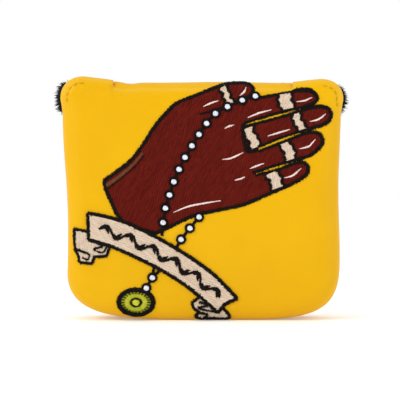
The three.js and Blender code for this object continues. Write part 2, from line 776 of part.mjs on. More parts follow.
function addStitching() {
  const lift = -(THREAD_RADIUS + THREAD_CLEARANCE);
  const earPath = earRight
    .slice(0, -1)
    .map((spot) => ({ ...spot, turn: FREE_ANGLE }))
    .map((spot) => rollPoint(facePanel, spot, FREE_ANGLE - TOPSTITCH_INSET / FACE_ROLL, lift));
  const otherEar = earPath.map(({ x, y, z }) => new THREE.Vector3(-x, y, z));
  addPiece("ear_stitching_right", threadGeometry(earPath, THREAD_RADIUS), "yellowThread");
  addPiece("ear_stitching_left", threadGeometry(otherEar, THREAD_RADIUS), "yellowThread");

  const rim = [...rimRight, rimMiddle, ...rimRight.map(mirrored).reverse()];
  const rimPath = rim
    .slice(TURN_STEPS - 1, 1 - TURN_STEPS)
    .map((spot) => facePoint(backPanel, spot, RIM_STITCH_SHARE, lift));
  addPiece("back_rim_stitching", threadGeometry(rimPath, THREAD_RADIUS), "yellowThread");

  const flapRows = flapStations(TOPSTITCH_INSET);
  const flapSide = (sign) =>
    flapRows.map((row) => lidPoint(row, sign * (row.half - TOPSTITCH_INSET), lift));
  const flapPath = shortened([...flapSide(1), ...flapSide(-1).reverse()], STITCH_STOP);
  addPiece("flap_stitching", threadGeometry(flapPath, THREAD_RADIUS), "yellowThread");

  const across = ROOF_WIDTH / 2 - TOPSTITCH_INSET;
  for (const [side, sign] of [["left", -1], ["right", 1]]) {
    const path = roofStations.map((row) => lidPoint(row, sign * across, lift));
    const thread = threadGeometry(shortened(path, STITCH_STOP), THREAD_RADIUS);
    addPiece(`roof_stitching_${side}`, thread, "yellowThread");
  }
}

addFace();
addBack();
addGusset();
addRoof();
addFlap();
addStitching();
addEmbroidery();

export default cover;
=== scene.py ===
"""A padded, embroidered cover for a mallet putter head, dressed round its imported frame.

Sizes are in millimetres until a mesh is made. X runs across the cover, the embroidered face
looks along -Y, +Z is up, and the cover stands on z = 0.
"""

import json
import logging
import math
from dataclasses import dataclass, field
from enum import Enum
from functools import cache
from typing import Callable

import bmesh
import bpy
import numpy as np
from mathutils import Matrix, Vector, noise
from mathutils.bvhtree import BVHTree


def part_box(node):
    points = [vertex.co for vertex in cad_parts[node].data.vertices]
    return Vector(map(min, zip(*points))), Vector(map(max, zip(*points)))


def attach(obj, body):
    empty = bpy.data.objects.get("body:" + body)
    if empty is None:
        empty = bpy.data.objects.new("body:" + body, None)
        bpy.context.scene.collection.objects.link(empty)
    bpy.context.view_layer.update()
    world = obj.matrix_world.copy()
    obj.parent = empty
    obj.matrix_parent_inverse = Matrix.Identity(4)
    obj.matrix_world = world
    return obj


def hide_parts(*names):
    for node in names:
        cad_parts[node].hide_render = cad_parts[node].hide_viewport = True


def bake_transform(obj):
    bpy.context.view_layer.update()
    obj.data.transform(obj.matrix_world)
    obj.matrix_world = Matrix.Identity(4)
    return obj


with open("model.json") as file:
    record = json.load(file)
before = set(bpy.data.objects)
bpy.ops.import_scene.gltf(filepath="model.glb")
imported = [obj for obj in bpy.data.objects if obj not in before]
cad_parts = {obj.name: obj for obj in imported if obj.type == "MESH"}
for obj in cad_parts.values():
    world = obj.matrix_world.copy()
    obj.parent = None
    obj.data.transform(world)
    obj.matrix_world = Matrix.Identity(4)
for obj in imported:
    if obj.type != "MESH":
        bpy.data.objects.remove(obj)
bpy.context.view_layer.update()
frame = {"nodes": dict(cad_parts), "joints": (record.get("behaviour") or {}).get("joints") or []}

log = logging.getLogger("cover")
MM = 0.001
TURN = 2 * math.pi
QUARTER = math.pi / 2
PLY_GAP = 0.3  # between the foam and the plush


# ---------- number helpers
def fade(value: np.ndarray | float, low: float, high: float) -> np.ndarray:
    """A smooth step.

    Args:
        value: where it is read.
        low: the step is 0 here.
        high: the step is 1 here.

    Returns:
        The step's height at each value.
    """
    share = np.clip((np.asarray(value, float) - low) / (high - low), 0, 1)
    return share * share * (3 - 2 * share)


def unit(vectors: np.ndarray) -> np.ndarray:
    """The vectors at length one."""
    return vectors / np.maximum(np.linalg.norm(vectors, axis=-1, keepdims=True), 1e-9)


def bezier(corners: list[tuple[float, float]], count: int = 40) -> np.ndarray:
    """Points along a cubic curve.

    Args:
        corners: start, two handles and end.
        count: how many points.

    Returns:
        The points, both ends among them.
    """
    start, first, second, end = (np.array(corner, float) for corner in corners)
    t = np.linspace(0, 1, count)[:, None]
    return (1 - t) ** 3 * start + 3 * t * (1 - t) ** 2 * first + 3 * t * t * (1 - t) * second + t**3 * end


def spaced(points: np.ndarray, pitch: float) -> np.ndarray:
    """Points at an even pitch along a broken line.

    Args:
        points: the line's corners.
        pitch: the distance wanted between two points.

    Returns:
        The new points, both ends among them.
    """
    steps = np.linalg.norm(np.diff(points, axis=0), axis=1)
    reach = np.concatenate([[0.0], np.cumsum(steps)])
    at = np.linspace(0, reach[-1], max(2, round(reach[-1] / pitch) + 1))
    return np.stack([np.interp(at, reach, points[:, k]) for k in range(points.shape[1])], axis=1)


def flowing(points: list[tuple[float, float]], pitch: float) -> np.ndarray:
    """A smooth curve through a few points.

    Args:
        points: what it passes through.
        pitch: the distance between the points returned.

    Returns:
        Points along the curve.
    """
    knots = np.array(points, float)
    knots = np.vstack([2 * knots[0] - knots[1], knots, 2 * knots[-1] - knots[-2]])
    t = np.linspace(0, 1, 12, endpoint=False)[:, None]
    stretches = []
    for a, b, c, d in zip(knots, knots[1:], knots[2:], knots[3:]):
        bend = 2 * a - 5 * b + 4 * c - d
        sway = 3 * b - a - 3 * c + d
        stretches.append(0.5 * (2 * b + (c - a) * t + bend * t**2 + sway * t**3))
    return spaced(np.vstack([*stretches, knots[-2][None]]), pitch)


def directions(path: np.ndarray) -> tuple[np.ndarray, np.ndarray]:
    """The ways along a flat path and across it, to its left."""
    along = unit(np.gradient(path, axis=0))
    return along, np.stack([-along[:, 1], along[:, 0]], axis=1)


def oval(centre: np.ndarray, radii: tuple[float, float], turn: np.ndarray) -> np.ndarray:
    """Points of an upright oval at the given turns."""
    return centre + np.stack([np.cos(turn) * radii[0], np.sin(turn) * radii[1]], axis=1)


def hills(points: np.ndarray, span: float, seed: int) -> np.ndarray:
    """Soft random heights from -1 to 1 over a set of points.

    Args:
        points: where the heights are read.
        span: the distance from one hill to the next.
        seed: picks the pattern.

    Returns:
        One height for each point.
    """
    shift = Vector((17.3 * seed, -9.1 * seed, 4.7 * seed))
    return np.array([noise.noise(Vector(point) / span + shift) for point in points])


# ---------- materials
class Value:
    """A number socket of a material; arithmetic on it adds Math nodes."""

    def __init__(self, graph: "Graph", socket: bpy.types.NodeSocket) -> None:
        """Wraps one output socket."""
        self.graph = graph
        self.socket = socket

    def _math(self, operation: str, *operands: "Value | float") -> "Value":
        """Adds one Math node and returns its result."""
        inputs = dict(enumerate(operands))
        return self.graph.value("ShaderNodeMath", {"operation": operation}, inputs)

    def __add__(self, other: "Value | float") -> "Value":
        """Sum."""
        return self._math("ADD", self, other)

    def __sub__(self, other: "Value | float") -> "Value":
        """Difference."""
        return self._math("SUBTRACT", self, other)

    def __rsub__(self, other: float) -> "Value":
        """Difference from a plain number."""
        return self._math("SUBTRACT", other, self)

    def __mul__(self, other: "Value | float") -> "Value":
        """Product."""
        return self._math("MULTIPLY", self, other)

    __radd__ = __add__
    __rmul__ = __mul__

    def sine(self) -> "Value":
        """Sine of the value."""
        return self._math("SINE", self)

    def between(self, low: float, high: float) -> "Value":
        """0 at low, 1 at high, held outside."""
        settings = {"interpolation_type": "SMOOTHSTEP", "clamp": True}
        inputs = {"Value": self, "From Min": low, "From Max": high}
        return self.graph.value("ShaderNodeMapRange", settings, inputs)


class Graph:
    """One material and its nodes."""

    def __init__(self, name: str) -> None:
        """Starts a material with an output and a principled shader."""
        self.material = bpy.data.materials.new(name)
        self.material.use_nodes = True
        self.tree = self.material.node_tree
        self.tree.nodes.clear()
        self.output = self.node("ShaderNodeOutputMaterial")
        self.shader = self.node("ShaderNodeBsdfPrincipled")
        self.tree.links.new(self.shader.outputs["BSDF"], self.output.inputs["Surface"])

    def node(self, kind: str, settings: dict | None = None, inputs: dict | None = None) -> bpy.types.Node:
        """Adds a node.

        Args:
            kind: Blender's type of node.
            settings: its properties, set first; stops sets a ramp's stops.
            inputs: numbers, tuples, sockets or Values by the name or place of its sockets.

        Returns:
            The node.
        """
        made = self.tree.nodes.new(kind)
        for key, setting in (settings or {}).items():
            if key == "stops":
                self.set_stops(made, setting)
            else:
                setattr(made, key, setting)
        for key, given in (inputs or {}).items():
            self.feed(made.inputs[key], given)
        return made

    @staticmethod
    def set_stops(ramp: bpy.types.Node, stops: list[tuple[float, tuple]]) -> None:
        """Gives a colour ramp its stops."""
        elements = ramp.color_ramp.elements
        while len(elements) < len(stops):
            elements.new(0.5)
        for element, (place, colour) in zip(elements, stops):
            element.position = place
            element.color = (*colour, 1.0)

    def feed(self, socket: bpy.types.NodeSocket, given: object) -> None:
        """Links or sets one input socket."""
        if isinstance(given, Value):
            self.tree.links.new(given.socket, socket)
        elif isinstance(given, bpy.types.NodeSocket):
            self.tree.links.new(given, socket)
        else:
            socket.default_value = given

    def value(
        self, kind: str, settings: dict | None = None, inputs: dict | None = None, output: int | str = 0
    ) -> Value:
        """Adds a node and returns one of its number outputs."""
        return Value(self, self.node(kind, settings, inputs).outputs[output])

    def kept(self, name: str) -> Value:
        """A number that the mesh keeps at its points."""
        return self.value("ShaderNodeAttribute", {"attribute_name": name}, output="Fac")

    def place(self) -> bpy.types.NodeSocket:
        """Where a point of the surface is at rest, in millimetres."""
        return self.node("ShaderNodeAttribute", {"attribute_name": "rest"}).outputs["Vector"]

    def speckle(self, scale: float, detail: float = 2.0, place: object = None) -> Value:
        """Noise from 0 to 1, at so many spots to a millimetre."""
        settings = {"noise_dimensions": "3D"}
        inputs = {"Vector": place or self.place(), "Scale": scale, "Detail": detail}
        return self.value("ShaderNodeTexNoise", settings, inputs)

    def mix(self, share: Value | float, first: object, second: object) -> bpy.types.NodeSocket:
        """A colour between two colours."""
        settings = {"data_type": "RGBA"}
        made = self.node("ShaderNodeMix", settings, {0: share})
        for socket, given in ((made.inputs[6], first), (made.inputs[7], second)):
            self.feed(socket, (*given, 1.0) if isinstance(given, tuple) else given)
        return made.outputs[2]

    def relief(self, height: Value, strength: float, depth: float) -> None:
        """Lets a height make the surface rough to the light; depth is in metres."""
        inputs = {"Height": height, "Strength": strength, "Distance": depth}
        bump = self.node("ShaderNodeBump", inputs=inputs)
        self.feed(self.shader.inputs["Normal"], bump.outputs["Normal"])

    def finish(self, **inputs: object) -> bpy.types.Material:
        """Sets the shader's sockets, whose spaces are written as underscores."""
        for key, given in inputs.items():
            socket = self.shader.inputs[key.replace("_", " ")]
            if isinstance(given, tuple) and len(given) == 3:
                given = (*given, 1.0)
            self.feed(socket, given)
        return self.material


@dataclass(frozen=True)
class LeatherFinish:
    """Smooth coated leather: fine pebble, soft gloss, and a painted highlight, lighter and paler, along
    its rolled free edges.
    """

    name: str
    colour: tuple = (0.75, 0.415, 0.0006)
    deep: tuple = (0.655, 0.33, 0.0006)
    # painted highlight: the lighter, paler colour laid along the rolled free edges
    edge_highlight: tuple = (0.80, 0.50, 0.08)
    gloss: float = 0.41

    def make(self) -> bpy.types.Material:
        """Builds the material."""
        graph = Graph(self.name)
        drift = graph.speckle(0.028, 3.0).between(0.3, 0.7)
        fine = graph.speckle(0.9, 2.0)
        body = graph.mix(drift * 0.3 + fine * 0.12, self.colour, self.deep)
        # painted highlight along the rolled free edges: the edge share, broken up by noise, mixes in the
        # lighter colour
        edge = graph.kept("edge") * (0.7 + graph.speckle(0.35) * 0.5)
        colour = graph.mix(edge * 0.3, body, self.edge_highlight)
        settings = {"feature": "DISTANCE_TO_EDGE"}
        inputs = {"Vector": graph.place(), "Scale": 1.15, "Randomness": 0.9}
        pebble = graph.value("ShaderNodeTexVoronoi", settings, inputs, "Distance").between(0.0, 0.22)
        creases = graph.speckle(0.22, 4.0)
        height = pebble * 0.55 + fine * 0.25 + creases * 0.6
        graph.relief(height, 0.22, 0.00012)
        roughness = self.gloss + drift * 0.05 + edge * 0.08 - pebble * 0.04
        return graph.finish(
            Base_Color=colour,
            Roughness=roughness,
            Coat_Weight=0.04,
            Coat_Roughness=0.28,
            Specular_IOR_Level=0.1,
        )


@dataclass(frozen=True)
class ThreadFinish:
    """Twisted embroidery thread, with strands that catch the light one by one."""

    name: str
    colour: tuple
    light: tuple
    gloss: float = 0.5
    shine: float = 0.15

    def make(self) -> bpy.types.Material:
        """Builds the material."""
        graph = Graph(self.name)
        strand = graph.kept("strand")
        twist = (graph.kept("along") * 11.0 + graph.kept("across") * 2.4).sine() * 0.5 + 0.5
        fuzz = graph.speckle(3.0, 3.0)
        share = strand * 0.55 + twist * 0.2 + fuzz * 0.35 - 0.1
        colour = graph.mix(share, self.colour, self.light)
        graph.relief(twist * 0.7 + fuzz * 0.5, 0.5, 0.00008)
        return graph.finish(
            Base_Color=colour,
            Roughness=self.gloss + fuzz * 0.2,
            Specular_IOR_Level=self.shine,
        )


@dataclass(frozen=True)
class FleeceFinish:
    """Black plush: dull, matted, a shade lighter at the tips."""

    name: str
    colour: tuple = (0.0035, 0.0032, 0.004)
    tip: tuple = (0.035, 0.033, 0.037)

    def make(self) -> bpy.types.Material:
        """Builds the material."""
        graph = Graph(self.name)
        mat = graph.speckle(0.8, 5.0)
        clumps = graph.speckle(0.16, 2.0)
        colour = graph.mix(mat * 0.5 + graph.kept("tip") * 0.5, self.colour, self.tip)
        graph.relief(mat + clumps * 0.8, 0.9, 0.0009)
        return graph.finish(
            Base_Color=colour,
            Roughness=0.9 + mat * 0.1,
            Specular_IOR_Level=0.05,
            Sheen_Weight=0.03,
            Sheen_Roughness=0.6,
        )


@dataclass(frozen=True)
class PlatedFinish:
    """Bright plated magnet, with faint turning marks and dulled patches."""

    name: str
    colour: tuple = (0.56, 0.57, 0.6)
    dull: tuple = (0.36, 0.36, 0.38)

    def make(self) -> bpy.types.Material:
        """Builds the material."""
        graph = Graph(self.name)
        place = graph.node("ShaderNodeTexCoord").outputs["Object"]
        patches = graph.speckle(260.0, 4.0, place)
        scratches = graph.speckle(2400.0, 2.0, place)
        graph.relief(scratches, 0.2, 0.00002)
        return graph.finish(
            Base_Color=graph.mix(patches, self.colour, self.dull),
            Metallic=1.0,
            Roughness=0.2 + patches * 0.2,
        )


@dataclass(frozen=True)
class MouldedFinish:
    """Dark moulded plastic with a fine spark texture."""

    name: str
    colour: tuple = (0.03, 0.03, 0.033)
    pale: tuple = (0.055, 0.055, 0.058)

    def make(self) -> bpy.types.Material:
        """Builds the material."""
        graph = Graph(self.name)
        place = graph.node("ShaderNodeTexCoord").outputs["Object"]
        spark = graph.speckle(1800.0, 3.0, place)
        graph.relief(spark, 0.3, 0.00004)
        return graph.finish(
            Base_Color=graph.mix(spark, self.colour, self.pale),
            Roughness=0.45 + spark * 0.2,
        )


class Finish(Enum):
    """Every finish on the cover."""

    LEATHER = LeatherFinish("leather_yellow")
    FLEECE = FleeceFinish("plush_black")
    SEAM = ThreadFinish("seam_yellow", (0.52, 0.27, 0.003), (0.72, 0.40, 0.008), 0.5)
    MAROON = ThreadFinish("embroidery_maroon", (0.078, 0.0042, 0.0022), (0.165, 0.013, 0.007), 0.6, 0.06)
    RUST = ThreadFinish("embroidery_rust", (0.10, 0.030, 0.010), (0.19, 0.065, 0.025), 0.5)
    BLACK = ThreadFinish("embroidery_black", (0.0040, 0.0032, 0.0030), (0.013, 0.010, 0.008), 0.6, 0.06)
    CREAM = ThreadFinish("embroidery_cream", (0.60, 0.46, 0.335), (0.80, 0.66, 0.53), 0.5)
    PALE = ThreadFinish("embroidery_pale", (0.80, 0.60, 0.54), (0.95, 0.84, 0.80), 0.45)
    SILVER = ThreadFinish("embroidery_silver", (0.62, 0.65, 0.78), (0.92, 0.93, 0.98), 0.35)
    OLIVE = ThreadFinish("embroidery_olive", (0.20, 0.20, 0.012), (0.50, 0.50, 0.03), 0.45)
    LIME = ThreadFinish("embroidery_lime", (0.48, 0.50, 0.02), (0.72, 0.74, 0.06), 0.45)
    MAGNET = PlatedFinish("magnet_plated")
    CUP = MouldedFinish("cup_moulded")

    @cache
    def material(self) -> bpy.types.Material:
        """The finish's material, built the first time that it is asked for."""
        return self.value.make()


# ---------- meshes
@dataclass
class Draft:
    """A mesh in the making.

    Attributes:
        points: the corners, in millimetres.
        faces: each face's corners by number.
        kept: numbers that the points carry, by name.
        crisp: whether its square edges are shaded as edges.
    """

    points: np.ndarray
    faces: list
    kept: dict = field(default_factory=dict)
    crisp: bool = False
    CREASE = math.radians(48)

    def make(self, name: str, finish: Finish) -> bpy.types.Object:
        """Turns the draft into an object of the scene.

        Args:
            name: the piece's name.
            finish: what it is made of.

        Returns:
            The object, with no parent.
        """
        mesh = bpy.data.meshes.new(name)
        mesh.from_pydata((self.points * MM).tolist(), [], [list(map(int, face)) for face in self.faces])
        work = bmesh.new()
        work.from_mesh(mesh)
        bmesh.ops.recalc_face_normals(work, faces=work.faces)
        for face in work.faces:
            face.smooth = True
        if self.crisp:
            for edge in work.edges:
                edge.smooth = edge.calc_face_angle(0) < self.CREASE
        work.to_mesh(mesh)
        work.free()
        rest = mesh.attributes.new("rest", "FLOAT_VECTOR", "POINT")
        rest.data.foreach_set("vector", self.points.astype(np.float32).ravel())
        for key, numbers in self.kept.items():
            kept = mesh.attributes.new(key, "FLOAT", "POINT")
            kept.data.foreach_set("value", np.asarray(numbers, np.float32))
        mesh.materials.append(finish.material())
        piece = bpy.data.objects.new(name, mesh)
        bpy.context.scene.collection.objects.link(piece)
        log.info("%s: %d faces", name, len(mesh.polygons))
        return piece


def quads(lower: np.ndarray, upper: np.ndarray) -> list[tuple]:
    """Faces between two equal rows of point numbers."""
    return list(zip(lower[:-1], lower[1:], upper[1:], upper[:-1]))


def closed_sheet(
    outer: np.ndarray, inner: np.ndarray, skin: list, loop: np.ndarray, out: np.ndarray,
    bulge: np.ndarray,
) -> tuple[np.ndarray, list]:
    """Joins two like surfaces into one closed body with round edges.

    Args:
        outer: the outside's points.
        inner: the inside's points, in the same order.
        skin: the outside's faces.
        loop: the point numbers round the surface's edge, in order.
        out: which way is out past the edge, at each point of the loop.
        bulge: how far the edge stands out there.

    Returns:
        All points and all faces.
    """
    count = len(outer)
    points = [outer, inner]
    faces = list(skin) + [tuple(corner + count for corner in reversed(face)) for face in skin]
    middle = (outer[loop] + inner[loop]) / 2
    half = (outer[loop] - inner[loop]) / 2
    rows = [loop]
    for step, angle in enumerate(np.linspace(0, math.pi, 6)[1:-1]):
        ring = middle + half * math.cos(angle) + out * bulge[:, None] * math.sin(angle)
        points.append(ring)
        rows.append(2 * count + step * len(loop) + np.arange(len(loop)))
    rows.append(loop + count)
    for lower, upper in zip(rows, rows[1:]):
        faces += quads(np.append(lower, lower[0]), np.append(upper, upper[0]))
    return np.vstack(points), faces


# ---------- sizes
def cad_box(node: str) -> tuple[np.ndarray, np.ndarray]:
    """Lowest and highest corner of a CAD node, in millimetres."""
    low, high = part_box(node)
    return np.array(low) / MM, np.array(high) / MM


@dataclass(frozen=True)
class CoverSizes:
    """The cover's main sizes, worked out from the frame."""

    fold: float
    seam_plane: float
    face_depth: float
    back_depth: float
    back_rim: float
    seam_end: float
    gusset_half: float
    lid_half: float
    flap_half: float
    flap_outside: float
    flap_hem: float
    crown: float = 1.5
    face_roll: float = 10.2
    back_roll: float = 9.5
    back_bend: float = 9.5
    free_turn: float = QUARTER / 2
    rim_turn: float = math.radians(12)
    wall: float = 4.1  # leather and foam
    face_wall: float = 4.8
    lid_wall: float = 3.4
    plush: float = 2.6
    lid_plush: float = 1.2
    roof_middle: float = 2.0  # where the front's sheet meets the flap's

    @classmethod
    def from_frame(cls) -> "CoverSizes":
        """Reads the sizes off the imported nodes."""
        front, roof = cad_box("front_leather"), cad_box("roof_leather")
        back, gusset = cad_box("back_leather"), cad_box("gusset_leather")
        flap = cad_box("flap_leather")
        return cls(
            fold=roof[1][2],
            seam_plane=-front[1][1],
            face_depth=-front[0][1] - cls.crown,
            back_depth=back[1][1],
            back_rim=back[1][2],
            seam_end=gusset[1][2],
            gusset_half=gusset[1][1],
            lid_half=roof[1][0],
            flap_half=flap[1][0],
            flap_outside=flap[1][1],
            flap_hem=flap[0][2],
        )

    @property
    def split(self) -> float:
        """Height where the face ends and the lid begins, half way round the fold."""
        return self.fold - self.face_roll * (1 - math.sin(self.free_turn))


@dataclass(frozen=True)
class Side:
    """How one side of the cover runs: distances out from the middle, and heights.

    The two sides are sewn alike but fill out differently.
    """

    sign: int
    flat: float
    hem: tuple
    waist: tuple
    shoulder: tuple
    flare: tuple
    seam_end: float
    flank: tuple
    ear: tuple
    ear_top: tuple
    notch: tuple

    def seam(self, sizes: CoverSizes) -> np.ndarray:
        """Points from the middle of the base up to where the side seam stops."""
        end = (self.seam_end, sizes.seam_end)
        hem_top = self.hem[2]
        pieces = [
            np.array([(0.0, 0.0), (self.flat, 0.0)]),
            bezier([(self.flat, 0.0), *self.hem]),
            bezier([hem_top, *self.waist, self.shoulder]),
            bezier([self.shoulder, *self.flare, end]),
        ]
        return np.vstack([piece[1:] if k else piece for k, piece in enumerate(pieces)])

    def ear_line(self, sizes: CoverSizes) -> np.ndarray:
        """Points from the seam's end round the ear to its inner corner."""
        start = np.array([(self.seam_end, sizes.seam_end), self.flank])
        return np.vstack([start, bezier([self.flank, *self.ear, self.ear_top])[1:], [self.notch]])


RIGHT = Side(
    sign=1,
    flat=26,
    hem=((58, 0.4), (68.6, 6), (69.3, 26)),
    waist=((69.8, 42), (67.9, 60)),
    shoulder=(69.0, 80),
    flare=((69.3, 88), (69.6, 96)),
    seam_end=69.9,
    flank=(70.4, 111.5),
    ear=((70.4, 117.4), (66.6, 121.2)),
    ear_top=(59.5, 121.3),
    notch=(45.3, 119.9),
)
LEFT = Side(
    sign=-1,
    flat=16,
    hem=((50, 0.5), (69.2, 4.9), (68.7, 24)),
    waist=((68.1, 38), (68.0, 58)),
    shoulder=(70.0, 80),
    flare=((70.6, 88), (71.0, 96)),
    seam_end=71.1,
    flank=(71.4, 112.0),
    ear=((71.4, 118.4), (67.2, 122.6)),
    ear_top=(60.0, 122.7),
    notch=(45.2, 120.8),
)


@dataclass
class Edge:
    """The spots round a panel.

    Attributes:
        at: where each is, across and up.
        out: which way is out of the panel.
        turn: how far the panel's edge rolls back there.
        lid: whether the lid carries on from there.
        free: 0 at a seam to 1 at a free edge.
    """

    at: np.ndarray
    out: np.ndarray
    turn: np.ndarray
    lid: np.ndarray
    free: np.ndarray


class Pattern:
    """Draws the outlines that every ply of the cover is cut to."""

    PITCH = 1.6
    NOTCH_LEAN = 0.35

    def __init__(self, sizes: CoverSizes) -> None:
        """Keeps the sizes."""
        self.sizes = sizes

    def _normals(self, path: np.ndarray) -> np.ndarray:
        """Outward normals of a right-hand side, eased over sharp corners."""
        along = unit(np.gradient(path, axis=0))
        normals = np.stack([along[:, 1], -along[:, 0]], axis=1)
        eased = normals.copy()
        eased[1:-1] = normals[:-2] + 2 * normals[1:-1] + normals[2:]
        return unit(eased)

    def _front_side(self, side: Side) -> tuple[np.ndarray, ...]:
        """One side of the front from the base's middle to the neck."""
        sizes = self.sizes
        seam = spaced(side.seam(sizes), self.PITCH)
        ear = spaced(side.ear_line(sizes), self.PITCH)[1:]
        neck = spaced(np.array([side.notch, (sizes.lid_half, sizes.split)]), 1.1)[1:]
        path = np.vstack([seam, ear, neck])
        out = self._normals(path)
        past = len(seam) + np.argmax(ear[:, 0] < side.ear_top[0])
        corner = len(seam) + len(ear) - 1
        lean = np.zeros(len(path))
        lean[past : corner + 1] = np.linspace(0, 1, corner + 1 - past)
        lean[corner:] = np.linspace(1, 0, len(path) - corner)
        leaning = unit(np.stack([-self.NOTCH_LEAN * lean, np.ones(len(path))], axis=1))
        out[past:] = leaning[past:]
        free = np.concatenate([np.zeros(len(seam)), fade(ear[:, 1], sizes.seam_end, side.flank[1])])
        free = np.concatenate([free, np.ones(len(neck))])
        free[len(seam) + np.argmax(free[len(seam) :] > 0.999) :] = 1
        return path * (side.sign, 1), out * (side.sign, 1), free

    def front(self) -> Edge:
        """The face with its two ears, and the neck between them."""
        right, right_out, right_free = self._front_side(RIGHT)
        left, left_out, left_free = self._front_side(LEFT)
        neck = spaced(np.array([right[-1], left[-1]]), self.PITCH)[1:-1]
        at = np.vstack([right, neck, left[:0:-1]])
        out = np.vstack([right_out, np.tile((0.0, 1.0), (len(neck), 1)), left_out[:0:-1]])
        free = np.concatenate([right_free, np.ones(len(neck)), left_free[:0:-1]])
        lid = np.zeros(len(at), bool)
        lid[len(right) - 1 : len(right) + len(neck) + 1] = True
        turn = QUARTER + (self.sizes.free_turn - QUARTER) * free
        return Edge(at, out, turn, lid, free)

    def _back_side(self, side: Side) -> tuple[np.ndarray, ...]:
        """One side of the back from the base's middle to the middle of the rim."""
        sizes = self.sizes
        seam = spaced(side.seam(sizes), self.PITCH)
        corner = sizes.back_rim - sizes.seam_end
        angle = np.linspace(0, QUARTER, 24)
        arc = np.stack([np.cos(angle), np.sin(angle)], axis=1) * corner
        arc += (side.seam_end - corner, sizes.seam_end)
        rim = spaced(np.vstack([arc, (0.0, sizes.back_rim)]), self.PITCH)[1:]
        path = np.vstack([seam, rim])
        free = np.concatenate([np.zeros(len(seam)), fade(np.arange(len(rim)), 0, 10)])
        return path * (side.sign, 1), self._normals(path) * (side.sign, 1), free

    def back(self) -> Edge:
        """The back panel, whose rim hangs free under the lid."""
        right, right_out, right_free = self._back_side(RIGHT)
        left, left_out, left_free = self._back_side(LEFT)
        at = np.vstack([right, left[-2:0:-1]])
        out = np.vstack([right_out, left_out[-2:0:-1]])
        free = np.concatenate([right_free, left_free[-2:0:-1]])
        turn = QUARTER + (self.sizes.rim_turn - QUARTER) * free
        return Edge(at, out, turn, np.zeros(len(at), bool), free)

    def gusset(self) -> Edge:
        """The strip round both sides and the base, from the right end to the left."""
        right = spaced(RIGHT.seam(self.sizes), self.PITCH)
        left = spaced(LEFT.seam(self.sizes), self.PITCH)
        at = np.vstack([right[:0:-1], left * (-1, 1)])
        out = np.vstack([self._normals(right)[:0:-1], self._normals(left) * (-1, 1)])
        none = np.zeros(len(at))
        return Edge(at, out, none, none.astype(bool), none)


# ---------- panels
@dataclass
class Groove:
    """A stitched line that draws the padding in.

    Attributes:
        path: points along it.
        depth: how far it draws in at its middle.
        reach: how far to each side it is felt.
    """

    path: np.ndarray
    depth: float = 0.55
    reach: float = 1.3

    def press(self, points: np.ndarray, inward: np.ndarray) -> np.ndarray:
        """Points drawn in along the line, where inward is each point's way in."""
        nearest = np.full(len(points), 1e9)
        for start in range(0, len(self.path), 64):
            chunk = self.path[start : start + 64]
            gap = np.linalg.norm(points[:, None] - chunk[None], axis=2).min(axis=1)
            nearest = np.minimum(nearest, gap)
        return points + inward * (self.depth * np.exp(-((nearest / self.reach) ** 2)))[:, None]


